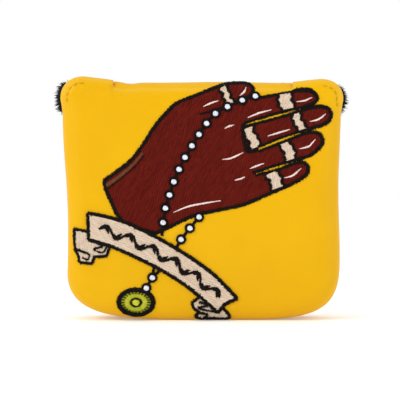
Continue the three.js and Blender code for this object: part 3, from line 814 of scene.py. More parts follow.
class Panel:
    """A dished panel: flat face, rolled edges, and for the front the fold and half the roof."""

    ROLL_STEPS = 9
    FACE_STEPS = 24
    BOW_REACH = (62, 54)  # how far the crown goes, across and up
    FOLD_ROWS = 8
    ROOF_ROWS = 10

    def __init__(
        self, sizes: CoverSizes, edge: Edge, roll: float, depth: float, crown: float, side: int
    ) -> None:
        """Keeps the panel's shape; side is -1 for the front and 1 for the back."""
        self.sizes = sizes
        self.edge = edge
        self.roll = roll
        self.roll_depth = depth - sizes.seam_plane
        self.crown = crown
        self.side = side

    def rolled(self, angle: np.ndarray, inset: float | np.ndarray) -> np.ndarray:
        """Points on the rolled edge; angle 0 is on the flat, inset is the depth under the leather."""
        edge = self.edge
        reach = (self.roll - inset) * np.sin(angle) - self.roll * np.sin(edge.turn)
        depth = self.sizes.seam_plane + (self.roll_depth - inset) * np.cos(angle)
        flat = edge.at + edge.out * np.broadcast_to(reach, angle.shape)[:, None]
        depth = np.broadcast_to(depth, angle.shape)
        return np.stack([flat[:, 0], self.side * depth, flat[:, 1]], axis=1)

    def faced(self, share: float, inset: float) -> np.ndarray:
        """Points further in, from share 1 at the roll to 0 at the panel's middle."""
        rim = self.rolled(np.zeros(len(self.edge.at)), inset)
        middle = np.array([0.0, rim[0, 1], self.sizes.fold / 2])
        points = middle + (rim - middle) * share
        reach = (points - middle)[:, [0, 2]] / self.BOW_REACH
        bow = np.clip(1 - reach**2, 0, 1).prod(axis=1)
        points[:, 1] += self.side * self.crown * bow**1.4
        return points

    def _roof_rows(self, inset: float, lid_inset: float) -> list[np.ndarray]:
        """Rows across the lid, from the face's end over the fold to the middle of the roof."""
        sizes, lid = self.sizes, self.edge.lid
        rows = []
        for share in np.linspace(0, 1, self.FOLD_ROWS + 1)[1:]:
            angle = np.full(len(lid), sizes.free_turn + (QUARTER - sizes.free_turn) * share)
            here = inset + (lid_inset - inset) * share
            rows.append(self.rolled(angle, here)[lid])
        start = rows[-1]
        for share in np.linspace(0, 1, self.ROOF_ROWS + 1)[1:]:
            row = start.copy()
            row[:, 1] = start[:, 1] + (sizes.roof_middle - start[:, 1]) * share
            rows.append(row)
        return rows

    def surface(self, inset: float, lid_inset: float) -> np.ndarray:
        """Every point of the panel at one depth, ring by ring."""
        angles = [self.edge.turn * (1 - ring / self.ROLL_STEPS) for ring in range(self.ROLL_STEPS + 1)]
        rings = [self.rolled(angle, inset) for angle in angles]
        shares = 1 - np.linspace(0, 1, self.FACE_STEPS + 1)[1:-1] ** 1.35
        rings += [self.faced(share, inset) for share in shares]
        rings.append(self.faced(0.0, inset)[:1])
        if self.edge.lid.any():
            rings += self._roof_rows(inset, lid_inset)
        return np.vstack(rings)

    def skin(self) -> tuple[list, np.ndarray, np.ndarray, np.ndarray]:
        """The outside's faces, and its edge: point numbers, ways out and how free each is."""
        edge = self.edge
        count = len(edge.at)
        rings = self.ROLL_STEPS + self.FACE_STEPS
        numbers = np.arange(rings * count).reshape(rings, count)
        looped = np.hstack([numbers, numbers[:, :1]])
        faces = [face for lower, upper in zip(looped, looped[1:]) for face in quads(lower, upper)]
        middle = rings * count
        faces += [(a, b, middle) for a, b in zip(looped[-1], looped[-1][1:])]
        flat = edge.out * np.cos(edge.turn)[:, None]
        past = np.stack([flat[:, 0], -self.side * np.sin(edge.turn), flat[:, 1]], axis=1)
        if not edge.lid.any():
            return faces, numbers[0], unit(past), edge.free
        columns = np.flatnonzero(edge.lid)
        first, last, across = columns[0], columns[-1], len(columns)
        rows = self.FOLD_ROWS + self.ROOF_ROWS
        roof = middle + 1 + np.arange(rows * across).reshape(rows, across)
        steps = np.vstack([numbers[0][columns], roof])
        for lower, upper in zip(steps, steps[1:]):
            faces += quads(upper, lower)
        outline = np.concatenate([np.arange(last, count), np.arange(0, first + 1)])
        loop = np.concatenate([outline, roof[:, 0], roof[-1, 1:], roof[-2::-1, -1]])
        out = np.vstack([
            past[outline],
            np.tile((1.0, 0, 0), (rows, 1)),
            np.tile((0, 1.0, 0), (across - 1, 1)),
            np.tile((-1.0, 0, 0), (rows - 1, 1)),
        ])
        rear = np.zeros(across - 1)
        free = np.concatenate([edge.free[outline], np.ones(rows), rear, np.ones(rows - 1)])
        free[len(outline) + rows - 1] = 0
        ahead = [np.full(len(outline), 9.0), np.arange(rows)[::-1], rear, np.arange(1, rows)]
        return faces, loop, unit(out), free * fade(np.concatenate(ahead), -1, 3)

    def held(self, count: int) -> np.ndarray:
        """How free each point is to swell: 0 at a seam, 1 past the roll and at free edges."""
        ring = np.minimum(np.arange(count) // len(self.edge.at), self.ROLL_STEPS)
        return np.maximum(np.minimum(ring / 6, 1), np.resize(self.edge.free, count))

    def stitch_line(self, inset: float, spots: np.ndarray) -> np.ndarray:
        """A line on the leather that keeps a distance from the panel's free edge."""
        angle = self.edge.turn - inset / self.roll
        return self.rolled(angle, 0.0)[spots]


@dataclass
class Softness:
    """What stuffing and handling do to the leather's surface."""

    seed: int
    amount: float = 0.45
    span: float = 34.0

    def heights(self, points: np.ndarray) -> np.ndarray:
        """How far each point stands out of its pattern."""
        broad = hills(points, self.span, self.seed)
        small = hills(points, self.span / 4, self.seed + 3)
        return self.amount * (broad + 0.22 * small)


def normals_of(points: np.ndarray, faces: list, facing: np.ndarray) -> np.ndarray:
    """Each point's outward normal on an open surface.

    Args:
        points: the surface's points.
        faces: its faces, three or four corners each, all wound alike.
        facing: a direction that most of the surface faces.

    Returns:
        A unit vector for each point.
    """
    normals = np.zeros_like(points)
    for corners in (3, 4):
        chosen = np.array([face for face in faces if len(face) == corners], int)
        if len(chosen):
            a, b, c = points[chosen[:, 0]], points[chosen[:, 1]], points[chosen[:, -1]]
            across = np.cross(b - a, c - a)
            for corner in range(corners):
                np.add.at(normals, chosen[:, corner], across)
    normals = unit(normals)
    return normals if (normals @ facing).sum() > 0 else -normals


class Surface:
    """A made surface that other pieces are laid on."""

    def __init__(self, points: np.ndarray, faces: list) -> None:
        """Builds the search tree."""
        self.tree = BVHTree.FromPolygons(points.tolist(), [list(map(int, face)) for face in faces])

    def settle(self, points: np.ndarray) -> tuple[np.ndarray, np.ndarray]:
        """The nearest points on the surface, and the normals there."""
        found = [self.tree.find_nearest(Vector(point)) for point in points]
        places = np.array([place for place, *_ in found])
        normals = np.array([normal for _, normal, *_ in found])
        return places, normals

    def hit(self, origin: np.ndarray, heading: np.ndarray) -> np.ndarray | None:
        """Where a ray first meets the surface."""
        place = self.tree.ray_cast(Vector(origin), Vector(heading))[0]
        return None if place is None else np.array(place)


@dataclass
class LeatherMap:
    """The face's leather laid out flat, for the embroidery.

    Height runs straight up the face and then on over the fold.
    """

    sizes: CoverSizes
    surface: Surface
    STEP: float = 1.0
    WIDE: float = 76.0
    LOW: float = -4.0
    HIGH: float = 132.0

    def __post_init__(self) -> None:
        """Reads the leather's surface on an even grid."""
        self.bend_start = self.sizes.fold - self.sizes.face_roll
        xs = np.arange(-self.WIDE, self.WIDE + self.STEP, self.STEP)
        heights = np.arange(self.LOW, self.HIGH + self.STEP, self.STEP)
        self.grid = np.zeros((len(heights), len(xs), 3))
        for row, height in enumerate(heights):
            turn = max(0.0, (height - self.bend_start) / self.sizes.face_roll)
            heading = np.array([0.0, math.cos(turn), -math.sin(turn)])
            level = min(height, self.bend_start)
            for column, x in enumerate(xs):
                middle = np.array([x, -self.sizes.seam_plane, level])
                found = self.surface.hit(middle - heading * 40, heading)
                usual = middle - heading * (self.sizes.face_roll - 1)
                self.grid[row, column] = usual if found is None else found
        slope_up, slope_across = np.gradient(self.grid, self.STEP, axis=(0, 1))
        self.normals = unit(np.cross(slope_across, slope_up))

    def over_fold(self, points: np.ndarray) -> np.ndarray:
        """Turns heights seen from the front into heights along the leather."""
        roll = self.sizes.face_roll
        rise = np.clip((points[..., 1] - self.bend_start) / roll, 0, 0.985)
        along = np.where(rise > 0, self.bend_start + roll * np.arcsin(rise), points[..., 1])
        return np.stack([points[..., 0], along], axis=-1)

    def place(self, spots: np.ndarray) -> tuple[np.ndarray, np.ndarray]:
        """Points and normals on the leather for spots across and along it."""
        column = np.clip((spots[..., 0] + self.WIDE) / self.STEP, 0, self.grid.shape[1] - 1.001)
        row = np.clip((spots[..., 1] - self.LOW) / self.STEP, 0, self.grid.shape[0] - 1.001)
        c, r = column.astype(int), row.astype(int)
        u, v = (column - c)[..., None], (row - r)[..., None]

        def read(table: np.ndarray) -> np.ndarray:
            """Reads a table between its four nearest entries."""
            low = table[r, c] * (1 - u) + table[r, c + 1] * u
            high = table[r + 1, c] * (1 - u) + table[r + 1, c + 1] * u
            return low * (1 - v) + high * v

        return read(self.grid), unit(read(self.normals))


# ---------- leather
@dataclass
class Bend:
    """A joint between two bodies, and a stretch across it."""

    bodies: tuple[str, str]
    start: tuple[float, float, float]
    end: tuple[float, float, float]

    def carry(self, piece: bpy.types.Object) -> None:
        """Bakes a piece's placement into its mesh; the piece is not blended across the joint."""
        start, end = (tuple(coordinate * MM for coordinate in point) for point in (self.start, self.end))
        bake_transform(piece)


class Hinges:
    """The two folds that the lid turns on."""

    TILT = 0.325  # how much height counts beside depth at the front fold
    FRONT_START = 21.4
    FRONT_REACH = 10.5
    BACK_REACH = 9.0

    def __init__(self, sizes: CoverSizes) -> None:
        """Places the folds from the frame's sizes."""
        axis = np.array([0.0, 1.0, self.TILT])
        first = self.FRONT_START / (axis @ axis)
        last = (self.FRONT_START + self.FRONT_REACH) / (axis @ axis)
        self.front = Bend(("cover", "roof"), tuple(axis * first), tuple(axis * last))
        slant = unit(np.array([0.0, 1.0, -1.0]))
        joint = next(joint for joint in frame["joints"] if joint["child"] == "flap")
        middle = np.array(joint["pos_m"], float) / MM
        half = slant * self.BACK_REACH / 2
        self.back = Bend(("roof", "flap"), tuple(middle - half), tuple(middle + half))


@dataclass
class Ply:
    """One ply of the cover: how deep it lies and what it is."""

    name: str
    finish: Finish
    outer: float
    inner: float
    lid_outer: float
    lid_inner: float
    bulge: float
    stands_for: tuple[str, ...]
    slot: str
    plush: bool = False

    def make(self, sheet: tuple[np.ndarray, list], edge: np.ndarray, carry: Callable) -> bpy.types.Object:
        """Makes the ply's piece and puts it in place of its CAD nodes.

        Args:
            sheet: the ply's points and faces.
            edge: how near a free edge the first points are; it sets the painted edge highlight.
            carry: bakes the piece's placement in, or fixes it to its body.

        Returns:
            The piece.
        """
        points, faces = sheet
        kept = {"edge": np.pad(edge, (0, len(points) - len(edge))), "tip": np.zeros(len(points))}
        piece = Draft(points, faces, kept, crisp=True).make(self.name, self.finish)
        carry(piece)
        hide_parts(*self.stands_for)
        return piece


def with_cover(piece: bpy.types.Object) -> None:
    """Makes a piece move with the cover itself."""
    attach(piece, "cover")


def ladder(numbers: np.ndarray) -> list[tuple]:
    """Faces between all rows of a table of point numbers."""
    return [face for lower, upper in zip(numbers, numbers[1:]) for face in quads(lower, upper)]


def border(numbers: np.ndarray) -> np.ndarray:
    """The point numbers round a table, in order from its first corner."""
    return np.concatenate([numbers[0, :-1], numbers[:-1, -1], numbers[-1, :0:-1], numbers[:0:-1, 0]])


class FrontSheet:
    """The face with its ears, the fold and the front half of the roof."""

    EAR_STITCH = 3.7
    EAR_STITCH_END = 59.0

    def __init__(self, sizes: CoverSizes, pattern: Pattern, hinges: Hinges) -> None:
        """Keeps what the sheet is cut and bent by."""
        self.sizes = sizes
        self.hinges = hinges
        self.panel = Panel(sizes, pattern.front(), sizes.face_roll, sizes.face_depth, sizes.crown, -1)

    def ear_paths(self) -> dict[str, np.ndarray]:
        """The topstitched line round each ear."""
        edge = self.panel.edge
        ear = (edge.free > 0.35) & ~edge.lid & (np.abs(edge.at[:, 0]) > self.EAR_STITCH_END)
        line = self.panel.stitch_line(self.EAR_STITCH, np.ones(len(ear), bool))
        return {"right": line[ear & (edge.at[:, 0] > 0)], "left": line[ear & (edge.at[:, 0] < 0)]}

    def build(self, ply: Ply) -> tuple[bpy.types.Object, Surface]:
        """Makes one ply of the sheet and bakes its placement in."""
        panel = self.panel
        skin, loop, out, free = panel.skin()
        outer = panel.surface(ply.outer, ply.lid_outer)
        inner = panel.surface(ply.inner, ply.lid_inner)
        normals = normals_of(outer, skin, np.array([0.0, -1.0, 0.0]))
        count = len(panel.edge.at)
        held = panel.held(len(outer))
        height = Softness(3).heights(outer) * held
        if ply.plush:
            height += hills(outer, 2.6, 11) * 0.5 * held
        else:
            height += self._creases(outer)
        outer = outer + normals * height[:, None]
        edge_highlight_share = np.zeros(len(outer))
        if not ply.plush:
            for path in self.ear_paths().values():
                outer = Groove(path, 0.5, 1.15).press(outer, -normals)
            # how much painted highlight each point near a free edge gets, fading across the roll
            spots = np.arange(count * panel.ROLL_STEPS)
            edge_highlight_share[spots] = (1 - fade(spots // count, 0, 4.5)) * panel.edge.free[spots % count]
            edge_highlight_share[:count][panel.edge.lid] = 0
        sheet = closed_sheet(outer, inner, skin, loop, out, ply.bulge * free)
        return ply.make(sheet, edge_highlight_share, self.hinges.front.carry), Surface(outer, skin)

    def _creases(self, points: np.ndarray) -> np.ndarray:
        """Shallow folds where the ears bend away and where the left corner is soft."""
        x, z = points[:, 0], points[:, 2]
        crease = np.zeros(len(points))
        for sign, reach in ((-1, 0.55), (1, 0.4)):
            line = 113.2 + 3.6 * np.sin(np.clip((np.abs(x) - 34) / 20, 0, 1) * math.pi)
            where = fade(sign * x, 30, 40) * (1 - fade(sign * x, 58, 66))
            crease -= reach * where * np.exp(-(((z - line) / 2.6) ** 2))
        crease *= fade(-points[:, 1], 14, 18)
        drag = np.sin((x + 0.6 * z) / 9.5) * fade(-x, 20, 55) * (1 - fade(z, 30, 62))
        lid = fade(z, 112, 118) * (1 - fade(points[:, 1], -14, -4))
        past = np.abs(x) - self.sizes.lid_half
        corner = 0.7 * fade(past, -5, -0.3) * (x < 0)
        corner -= 0.6 * np.exp(-(((past + 8.5) / 3.6) ** 2)) * (x < 0)
        corner += 0.5 * np.exp(-(((x - 14) / 16) ** 2))
        return crease + 0.16 * drag + lid * corner * (past < 0.05)


class FlapSheet:
    """The rear half of the roof, the bend over the back, and the flap with its round corners."""

    CORNER = 15.0
    STITCH = 4.0
    PUFF = 0.9

    def __init__(self, sizes: CoverSizes, columns: int, hinges: Hinges) -> None:
        """Keeps the sizes; columns is how many points the front's sheet has across."""
        self.sizes = sizes
        self.columns = columns
        self.hinges = hinges
        self.stations = self._stations()

    def _stations(self) -> np.ndarray:
        """Rows down the sheet: y, z, the way in, and half the width."""
        sizes = self.sizes
        bend_y = sizes.flap_outside - sizes.back_bend
        flat = np.linspace(sizes.roof_middle, bend_y, 10)
        rows = [(y, sizes.fold, 0.0, -1.0, sizes.lid_half) for y in flat]
        for angle in np.linspace(0, QUARTER, 16)[1:]:
            spread = (sizes.flap_half - sizes.lid_half) * fade(angle, QUARTER * 0.4, QUARTER)
            y = bend_y + sizes.back_bend * math.sin(angle)
            z = sizes.fold - sizes.back_bend * (1 - math.cos(angle))
            rows.append((y, z, -math.sin(angle), -math.cos(angle), sizes.lid_half + spread))
        top = sizes.fold - sizes.back_bend
        corner_top = sizes.flap_hem + self.CORNER
        hanging = np.linspace(top, corner_top, 30)[1:]
        rows += [(sizes.flap_outside, z, -1.0, 0.0, sizes.flap_half) for z in hanging]
        for angle in np.linspace(0, QUARTER, 17)[1:]:
            z = corner_top - self.CORNER * math.sin(angle)
            half = sizes.flap_half - self.CORNER * (1 - math.cos(angle))
            rows.append((sizes.flap_outside, z, -1.0, 0.0, half))
        return np.array(rows)

    def surface(self, inset: float) -> np.ndarray:
        """Every point at one depth."""
        y, z, in_y, in_z, half = self.stations.T
        across = np.linspace(1, -1, self.columns)
        x = half[:, None] * across
        hanging = fade(-in_y, 0.5, 1.0)[:, None] * self.PUFF * np.cos(across * QUARTER) ** 0.7
        hanging = hanging * fade(z, self.sizes.flap_hem - 1, self.sizes.flap_hem + 14)[:, None]
        depth_y = (y + in_y * inset)[:, None] + hanging
        depth_z = (z + in_z * inset)[:, None] + 0 * across
        return np.stack([x, depth_y + 0 * x, depth_z], axis=2).reshape(-1, 3)

    def stitch_path(self) -> np.ndarray:
        """The topstitched line down one side, round the hem and up the other."""
        sizes, inset = self.sizes, self.STITCH
        inner = self.CORNER - inset
        half, low = sizes.flap_half - inset, sizes.flap_hem + inset
        angle = np.linspace(0, QUARTER, 12)
        across, up = half - inner + inner * np.cos(angle), low + inner - inner * np.sin(angle)
        corner = np.stack([across, up], axis=1)
        top = sizes.fold - sizes.back_bend - 1.5
        right = np.vstack([(half, top), corner])
        flat = np.vstack([right, (right * (-1, 1))[::-1]])
        flat = spaced(flat, 0.8)
        return np.stack([flat[:, 0], np.full(len(flat), sizes.flap_outside + 0.4), flat[:, 1]], axis=1)

    def side_paths(self) -> dict[str, np.ndarray]:
        """The topstitched line along each side of the roof."""
        sizes = self.sizes
        x = sizes.lid_half - self.STITCH
        front, rear = -sizes.seam_plane + 1, sizes.flap_outside - sizes.back_bend + 1
        run = spaced(np.array([(x, front, sizes.fold), (x, rear, sizes.fold)]), 0.8)
        return {side: run * (sign, 1, 1) for side, sign in (("right", 1), ("left", -1))}

    def skin(self) -> list:
        """One side's faces."""
        return ladder(np.arange(len(self.stations) * self.columns).reshape(-1, self.columns))

    def build(self, ply: Ply) -> tuple[bpy.types.Object, Surface]:
        """Makes one ply of the sheet and bakes its placement in."""
        rows, columns = len(self.stations), self.columns
        numbers = np.arange(rows * columns).reshape(rows, columns)
        skin = self.skin()
        outer, inner = self.surface(ply.lid_outer), self.surface(ply.lid_inner)
        normals = normals_of(outer, skin, np.array([0.0, 1.0, 0.4]))
        height = Softness(3).heights(outer)
        if ply.plush:
            height += hills(outer, 2.6, 11) * 0.4
        else:
            height += self._magnet_rings(outer)
        outer = outer + normals * height[:, None]
        if not ply.plush:
            outer = Groove(self.stitch_path(), 0.5, 1.5).press(outer, -normals)
        out = np.vstack([
            np.tile((0.0, -1.0, 0.0), (columns - 1, 1)),
            np.tile((-1.0, 0.0, 0.0), (rows - 1, 1)),
            np.tile((0.0, 0.0, -1.0), (columns - 1, 1)),
            np.tile((1.0, 0.0, 0.0), (rows - 1, 1)),
        ])
        down, hem = np.arange(rows - 1), np.full(columns - 1, 9.0)
        free = fade(np.concatenate([0 * hem, down, hem, np.arange(rows - 1, 0, -1)]), 0, 3)
        sheet = closed_sheet(outer, inner, skin, border(numbers), out, ply.bulge * free)
        # points near the flap's sides and hem get the painted edge highlight
        half = np.repeat(self.stations[:, 4], columns)
        rim = np.minimum(
            half - np.abs(outer[:, 0]),
            np.where(outer[:, 1] > self.sizes.flap_outside - 2, outer[:, 2] - self.sizes.flap_hem, 99),
        )
        piece = ply.make(sheet, 1 - fade(rim, 0, 3.5), self.hinges.back.carry)
        return piece, Surface(outer, skin)

    def _magnet_rings(self, points: np.ndarray) -> np.ndarray:
        """The faint rise that each magnet leaves in the leather."""
        height = np.zeros(len(points))
        for side in ("left", "right"):
            low, high = cad_box(f"flap_magnet_cup_{side}")
            middle, radius = (low + high) / 2, (high[0] - low[0]) / 2
            gap = np.hypot(points[:, 0] - middle[0], points[:, 2] - middle[2])
            near = points[:, 1] > self.sizes.flap_outside - 3
            height += near * 0.35 * (1 - fade(gap, radius - 1.2, radius + 2.2))
        return height


class BackSheet:
    """The back panel, whose rim hangs free behind the mouth."""

    RIM_STITCH = 3.6

    def __init__(self, sizes: CoverSizes, pattern: Pattern) -> None:
        """Keeps what the panel is cut by."""
        self.sizes = sizes
        self.panel = Panel(sizes, pattern.back(), sizes.back_roll, sizes.back_depth, 0.5, 1)

    def rim_path(self) -> np.ndarray:
        """The topstitched line along the rim."""
        spots = np.abs(self.panel.edge.at[:, 0]) < 57
        spots &= self.panel.edge.at[:, 1] > self.sizes.seam_end
        line = self.panel.rolled(np.zeros(len(spots)), 0.0)[spots]
        line[:, 2] = self.sizes.back_rim - self.RIM_STITCH
        return spaced(line[np.argsort(-line[:, 0])], 0.8)

    def build(self, ply: Ply) -> tuple[bpy.types.Object, Surface]:
        """Makes one ply of the panel."""
        panel = self.panel
        skin, loop, out, free = panel.skin()
        outer, inner = panel.surface(ply.outer, 0), panel.surface(ply.inner, 0)
        normals = normals_of(outer, skin, np.array([0.0, 1.0, 0.0]))
        count = len(panel.edge.at)
        held = panel.held(len(outer))
        height = Softness(8, 0.35).heights(outer) * held
        height += hills(outer, 2.6, 11) * 0.5 * held * ply.plush
        outer = outer + normals * height[:, None]
        edge_highlight_share = np.zeros(len(outer))
        if not ply.plush:
            outer = Groove(self.rim_path(), 0.45, 1.5).press(outer, -normals)
            # how much painted highlight each point near the free rim gets, fading across the roll
            spots = np.arange(count * 4)
            edge_highlight_share[spots] = (1 - fade(spots // count, 0, 3.5)) * panel.edge.free[spots % count]
        sheet = closed_sheet(outer, inner, skin, loop, out, ply.bulge * free)
        return ply.make(sheet, edge_highlight_share, with_cover), Surface(outer, skin)


class GussetStrip:
    """The strip that joins the two panels down both sides and under the base."""

    COLUMNS = 13
    PUFF = 0.9
    SEAM_DIP = 0.5

    def __init__(self, sizes: CoverSizes, pattern: Pattern) -> None:
        """Keeps what the strip is cut by."""
        self.sizes = sizes
        self.edge = pattern.gusset()

    def _surface(self, inset: float, soft: bool) -> np.ndarray:
        """Every point at one depth, row by row along the strip."""
        across = np.linspace(1, -1, self.COLUMNS)
        rise = self.PUFF * (1 - across**2) - self.SEAM_DIP * np.abs(across) ** 6 if soft else 0 * across
        down = np.clip(-self.edge.out[:, 1], 0, 1) ** 2
        lift = rise[None, :] * (1 - down[:, None]) - inset
        flat = self.edge.at[:, None, :] + self.edge.out[:, None, :] * lift[:, :, None]
        y = np.broadcast_to(across * self.sizes.gusset_half, lift.shape)
        return np.stack([flat[..., 0], y, flat[..., 1]], axis=2).reshape(-1, 3)

    def build(self, ply: Ply) -> tuple[bpy.types.Object, Surface]:
        """Makes one ply of the strip."""
        rows, columns = len(self.edge.at), self.COLUMNS
        numbers = np.arange(rows * columns).reshape(rows, columns)
        skin = ladder(numbers)
        outer, inner = self._surface(ply.outer, not ply.plush), self._surface(ply.inner, False)
        up = np.tile((0.0, 0.0, 1.0), (columns - 1, 1))
        aside = np.tile((0.0, 1.0, 0.0), (rows - 1, 1))
        ends, seams = np.ones(columns - 1), np.zeros(rows - 1)
        out = np.vstack([up, -aside, up, aside])
        bulge = ply.bulge * np.concatenate([ends, seams, ends, seams])
        sheet = closed_sheet(outer, inner, skin, border(numbers), out, bulge)
        return ply.make(sheet, np.zeros(len(outer)), with_cover), Surface(outer, skin)


# ---------- thread
class Strands:
    """Gathers short lengths of one thread and makes them one piece."""

    STATIONS = 5
    RISE = 0.12

    def __init__(self, seed: int) -> None:
        """Starts with none laid."""
        self.random = np.random.default_rng(seed)
        self.batches: list[tuple[np.ndarray, np.ndarray, np.ndarray]] = []

    def lay(self, centre: np.ndarray, normal: np.ndarray, width: np.ndarray | float) -> None:
        """Adds strands.

        Args:
            centre: their middle lines, strands by stations by three.
            normal: the way out of the leather there.
            width: each strand's width.
        """
        widths = np.broadcast_to(np.asarray(width, float), (len(centre),))
        self.batches.append((centre, normal, widths))

    def draft(self) -> Draft:
        """All the strands as one mesh."""
        centre = np.vstack([batch[0] for batch in self.batches])
        normal = np.vstack([batch[1] for batch in self.batches])
        width = np.concatenate([batch[2] for batch in self.batches])[:, None, None]
        along = unit(np.gradient(centre, axis=1))
        side = unit(np.cross(normal, along))
        taper = np.array([0.6, 1, 1, 1, 0.6])[None, :, None]
        corners = []
        for share, lift in ((-0.5, -self.RISE), (-0.3, self.RISE), (0.3, self.RISE), (0.5, -self.RISE)):
            corners.append(centre + side * width * taper * share + normal * lift)
        points = np.stack(corners, axis=2)
        count, stations = centre.shape[:2]
        base = np.arange(count)[:, None] * stations * 4
        pattern = []
        for station in range(stations - 1):
            for corner in range(4):
                near, far = station * 4, station * 4 + 4
                turn = (corner + 1) % 4
                pattern.append((near + corner, near + turn, far + turn, far + corner))
        last = (stations - 1) * 4
        pattern += [(3, 2, 1, 0), (last, last + 1, last + 2, last + 3)]
        faces = (base[:, None, :] + np.array(pattern)[None]).reshape(-1, 4)
        length = np.linalg.norm(np.diff(centre, axis=1), axis=2).cumsum(axis=1)
        length = np.hstack([np.zeros((count, 1)), length])
        kept = {
            "strand": np.repeat(self.random.random(count), stations * 4),
            "along": np.repeat(length.reshape(-1), 4),
            "across": np.tile((-1.0, -0.5, 0.5, 1.0), count * stations),
        }
        return Draft(points.reshape(-1, 3), faces.tolist(), kept)


class Needlework(Strands):
    """Embroidery of one thread on the mapped leather."""

    PITCH = 0.36
    THREAD = 0.46
    UNBROKEN = 30.0  # a stitch longer than any small round area

    def __init__(self, leather: LeatherMap, seed: int) -> None:
        """Keeps the leather that it is sewn to."""
        super().__init__(seed)
        self.leather = leather

    def run(
        self, start: np.ndarray, end: np.ndarray, low: float, high: float, width: float | None = None
    ) -> None:
        """Sews straight stitches.

        Args:
            start: where each begins, across and up the face.
            end: where each ends.
            low: height over the leather at the ends.
            high: height in the middle.
            width: the thread's width.
        """
        t = np.linspace(0, 1, self.STATIONS)[None, :, None]
        spots = self.leather.over_fold(start[:, None] * (1 - t) + end[:, None] * t)
        points, normals = self.leather.place(spots)
        lift = low + (high - low) * np.sin(np.pi * t) ** 0.6
        self.lay(points + normals * lift, normals, width or self.THREAD)

    def satin(
        self, path: np.ndarray, width: np.ndarray | float, low: float = 0.12, high: float = 0.62,
        fray: float = 0.16,
    ) -> None:
        """Covers a line with stitches across it.

        Args:
            path: the line.
            width: its width, one number or one for each end.
            low: height at the stitches' ends.
            high: height in the middle.
            fray: how uneven the ends are.
        """
        line = spaced(path, self.PITCH)
        along, across = directions(line)
        share, stops = np.linspace(0, 1, len(line)), np.linspace(0, 1, np.size(width))
        widths = np.interp(share, stops, np.atleast_1d(width))
        ends = widths[:, None, None] / 2 + self.random.normal(0, fray, (len(line), 2, 1))
        slant = along * self.random.normal(0, 0.06, (len(line), 1))
        self.run(line + across * ends[:, 0] + slant, line - across * ends[:, 1] - slant, low, high)

    def fill(
        self, outline: np.ndarray, angle: float, low: float, high: float, stitch: float = 4.0,
        pitch: float = 0.42,
    ) -> None:
        """Fills a closed outline with rows of stitches laid like bricks.

        Args:
            outline: the area's edge.
            angle: the rows' direction, in degrees.
            low: height at the stitches' ends.
            high: height in the middle.
            stitch: the stitches' length.
            pitch: the distance between rows.
        """
        turn = math.radians(angle)
        spin = np.array([(math.cos(turn), -math.sin(turn)), (math.sin(turn), math.cos(turn))])
        flat = outline @ spin
        following = np.roll(flat, -1, axis=0)
        starts, ends = [], []
        for row, level in enumerate(np.arange(flat[:, 1].min() + pitch / 2, flat[:, 1].max(), pitch)):
            crossing = (flat[:, 1] > level) != (following[:, 1] > level)
            a, b = flat[crossing], following[crossing]
            hits = np.sort(a[:, 0] + (level - a[:, 1]) / (b[:, 1] - a[:, 1]) * (b[:, 0] - a[:, 0]))
            for left, right in zip(hits[::2], hits[1::2]):
                bricks = np.arange(math.floor(left / stitch) - 1, right / stitch + 1)
                cuts = bricks * stitch + (row % 3) * stitch / 3
                cuts = cuts[(cuts > left + 0.5) & (cuts < right - 0.5)]
                stops = np.concatenate([[left], cuts + self.random.normal(0, 0.12, len(cuts)), [right]])
                levels = level + self.random.normal(0, 0.03, len(stops) - 1)
                starts.append(np.stack([stops[:-1], levels], axis=1))
                ends.append(np.stack([stops[1:], levels], axis=1))
        back = spin.T
        self.run(np.vstack(starts) @ back, np.vstack(ends) @ back, low, high, pitch * 1.5)

    def disc(
        self, centre: np.ndarray, radii: tuple[float, float], low: float, high: float,
        angle: float = 70.0,
    ) -> None:
        """Covers a small round area with stitches straight across it."""
        ring = oval(centre, radii, np.linspace(0, TURN, 28, endpoint=False))
        self.fill(ring, angle, low, high, stitch=self.UNBROKEN, pitch=self.PITCH)

    def ring(
        self, centre: np.ndarray, radii: tuple[float, float], width: float, low: float, high: float
    ) -> None:
        """Sews a satin ring."""
        self.satin(oval(centre, radii, np.linspace(0, TURN, 40)), width, low, high, 0.1)


@dataclass
class RunningStitch:
    """A row of single topstitches sunk into the leather.

    Attributes:
        surface: what the row is sewn to.
        length: one stitch's length.
        gap: the distance from one stitch to the next.
        width: the thread's width.
    """

    surface: Surface
    length: float = 2.7
    gap: float = 0.55
    width: float = 0.62
    GRAIN = 0.15  # how finely the path is read

    def sew(self, path: np.ndarray, seed: int) -> Draft:
        """Makes the row along a path."""
        fine = spaced(path, self.GRAIN)
        per = round(self.length / self.GRAIN)
        step = round((self.length + self.gap) / self.GRAIN)
        stations = np.linspace(0, per, Strands.STATIONS).astype(int)
        places = [fine[start + stations] for start in range(0, len(fine) - per - 1, step)]
        centre, normal = self.surface.settle(np.vstack(places))
        centre = centre.reshape(-1, Strands.STATIONS, 3)
        normal = normal.reshape(-1, Strands.STATIONS, 3)
        lift = np.array([-0.28, 0.16, 0.24, 0.16, -0.28])[None, :, None]
        strands = Strands(seed)
        strands.RISE = 0.24
        strands.lay(centre + normal * lift, normal, self.width)
        return strands.draft()


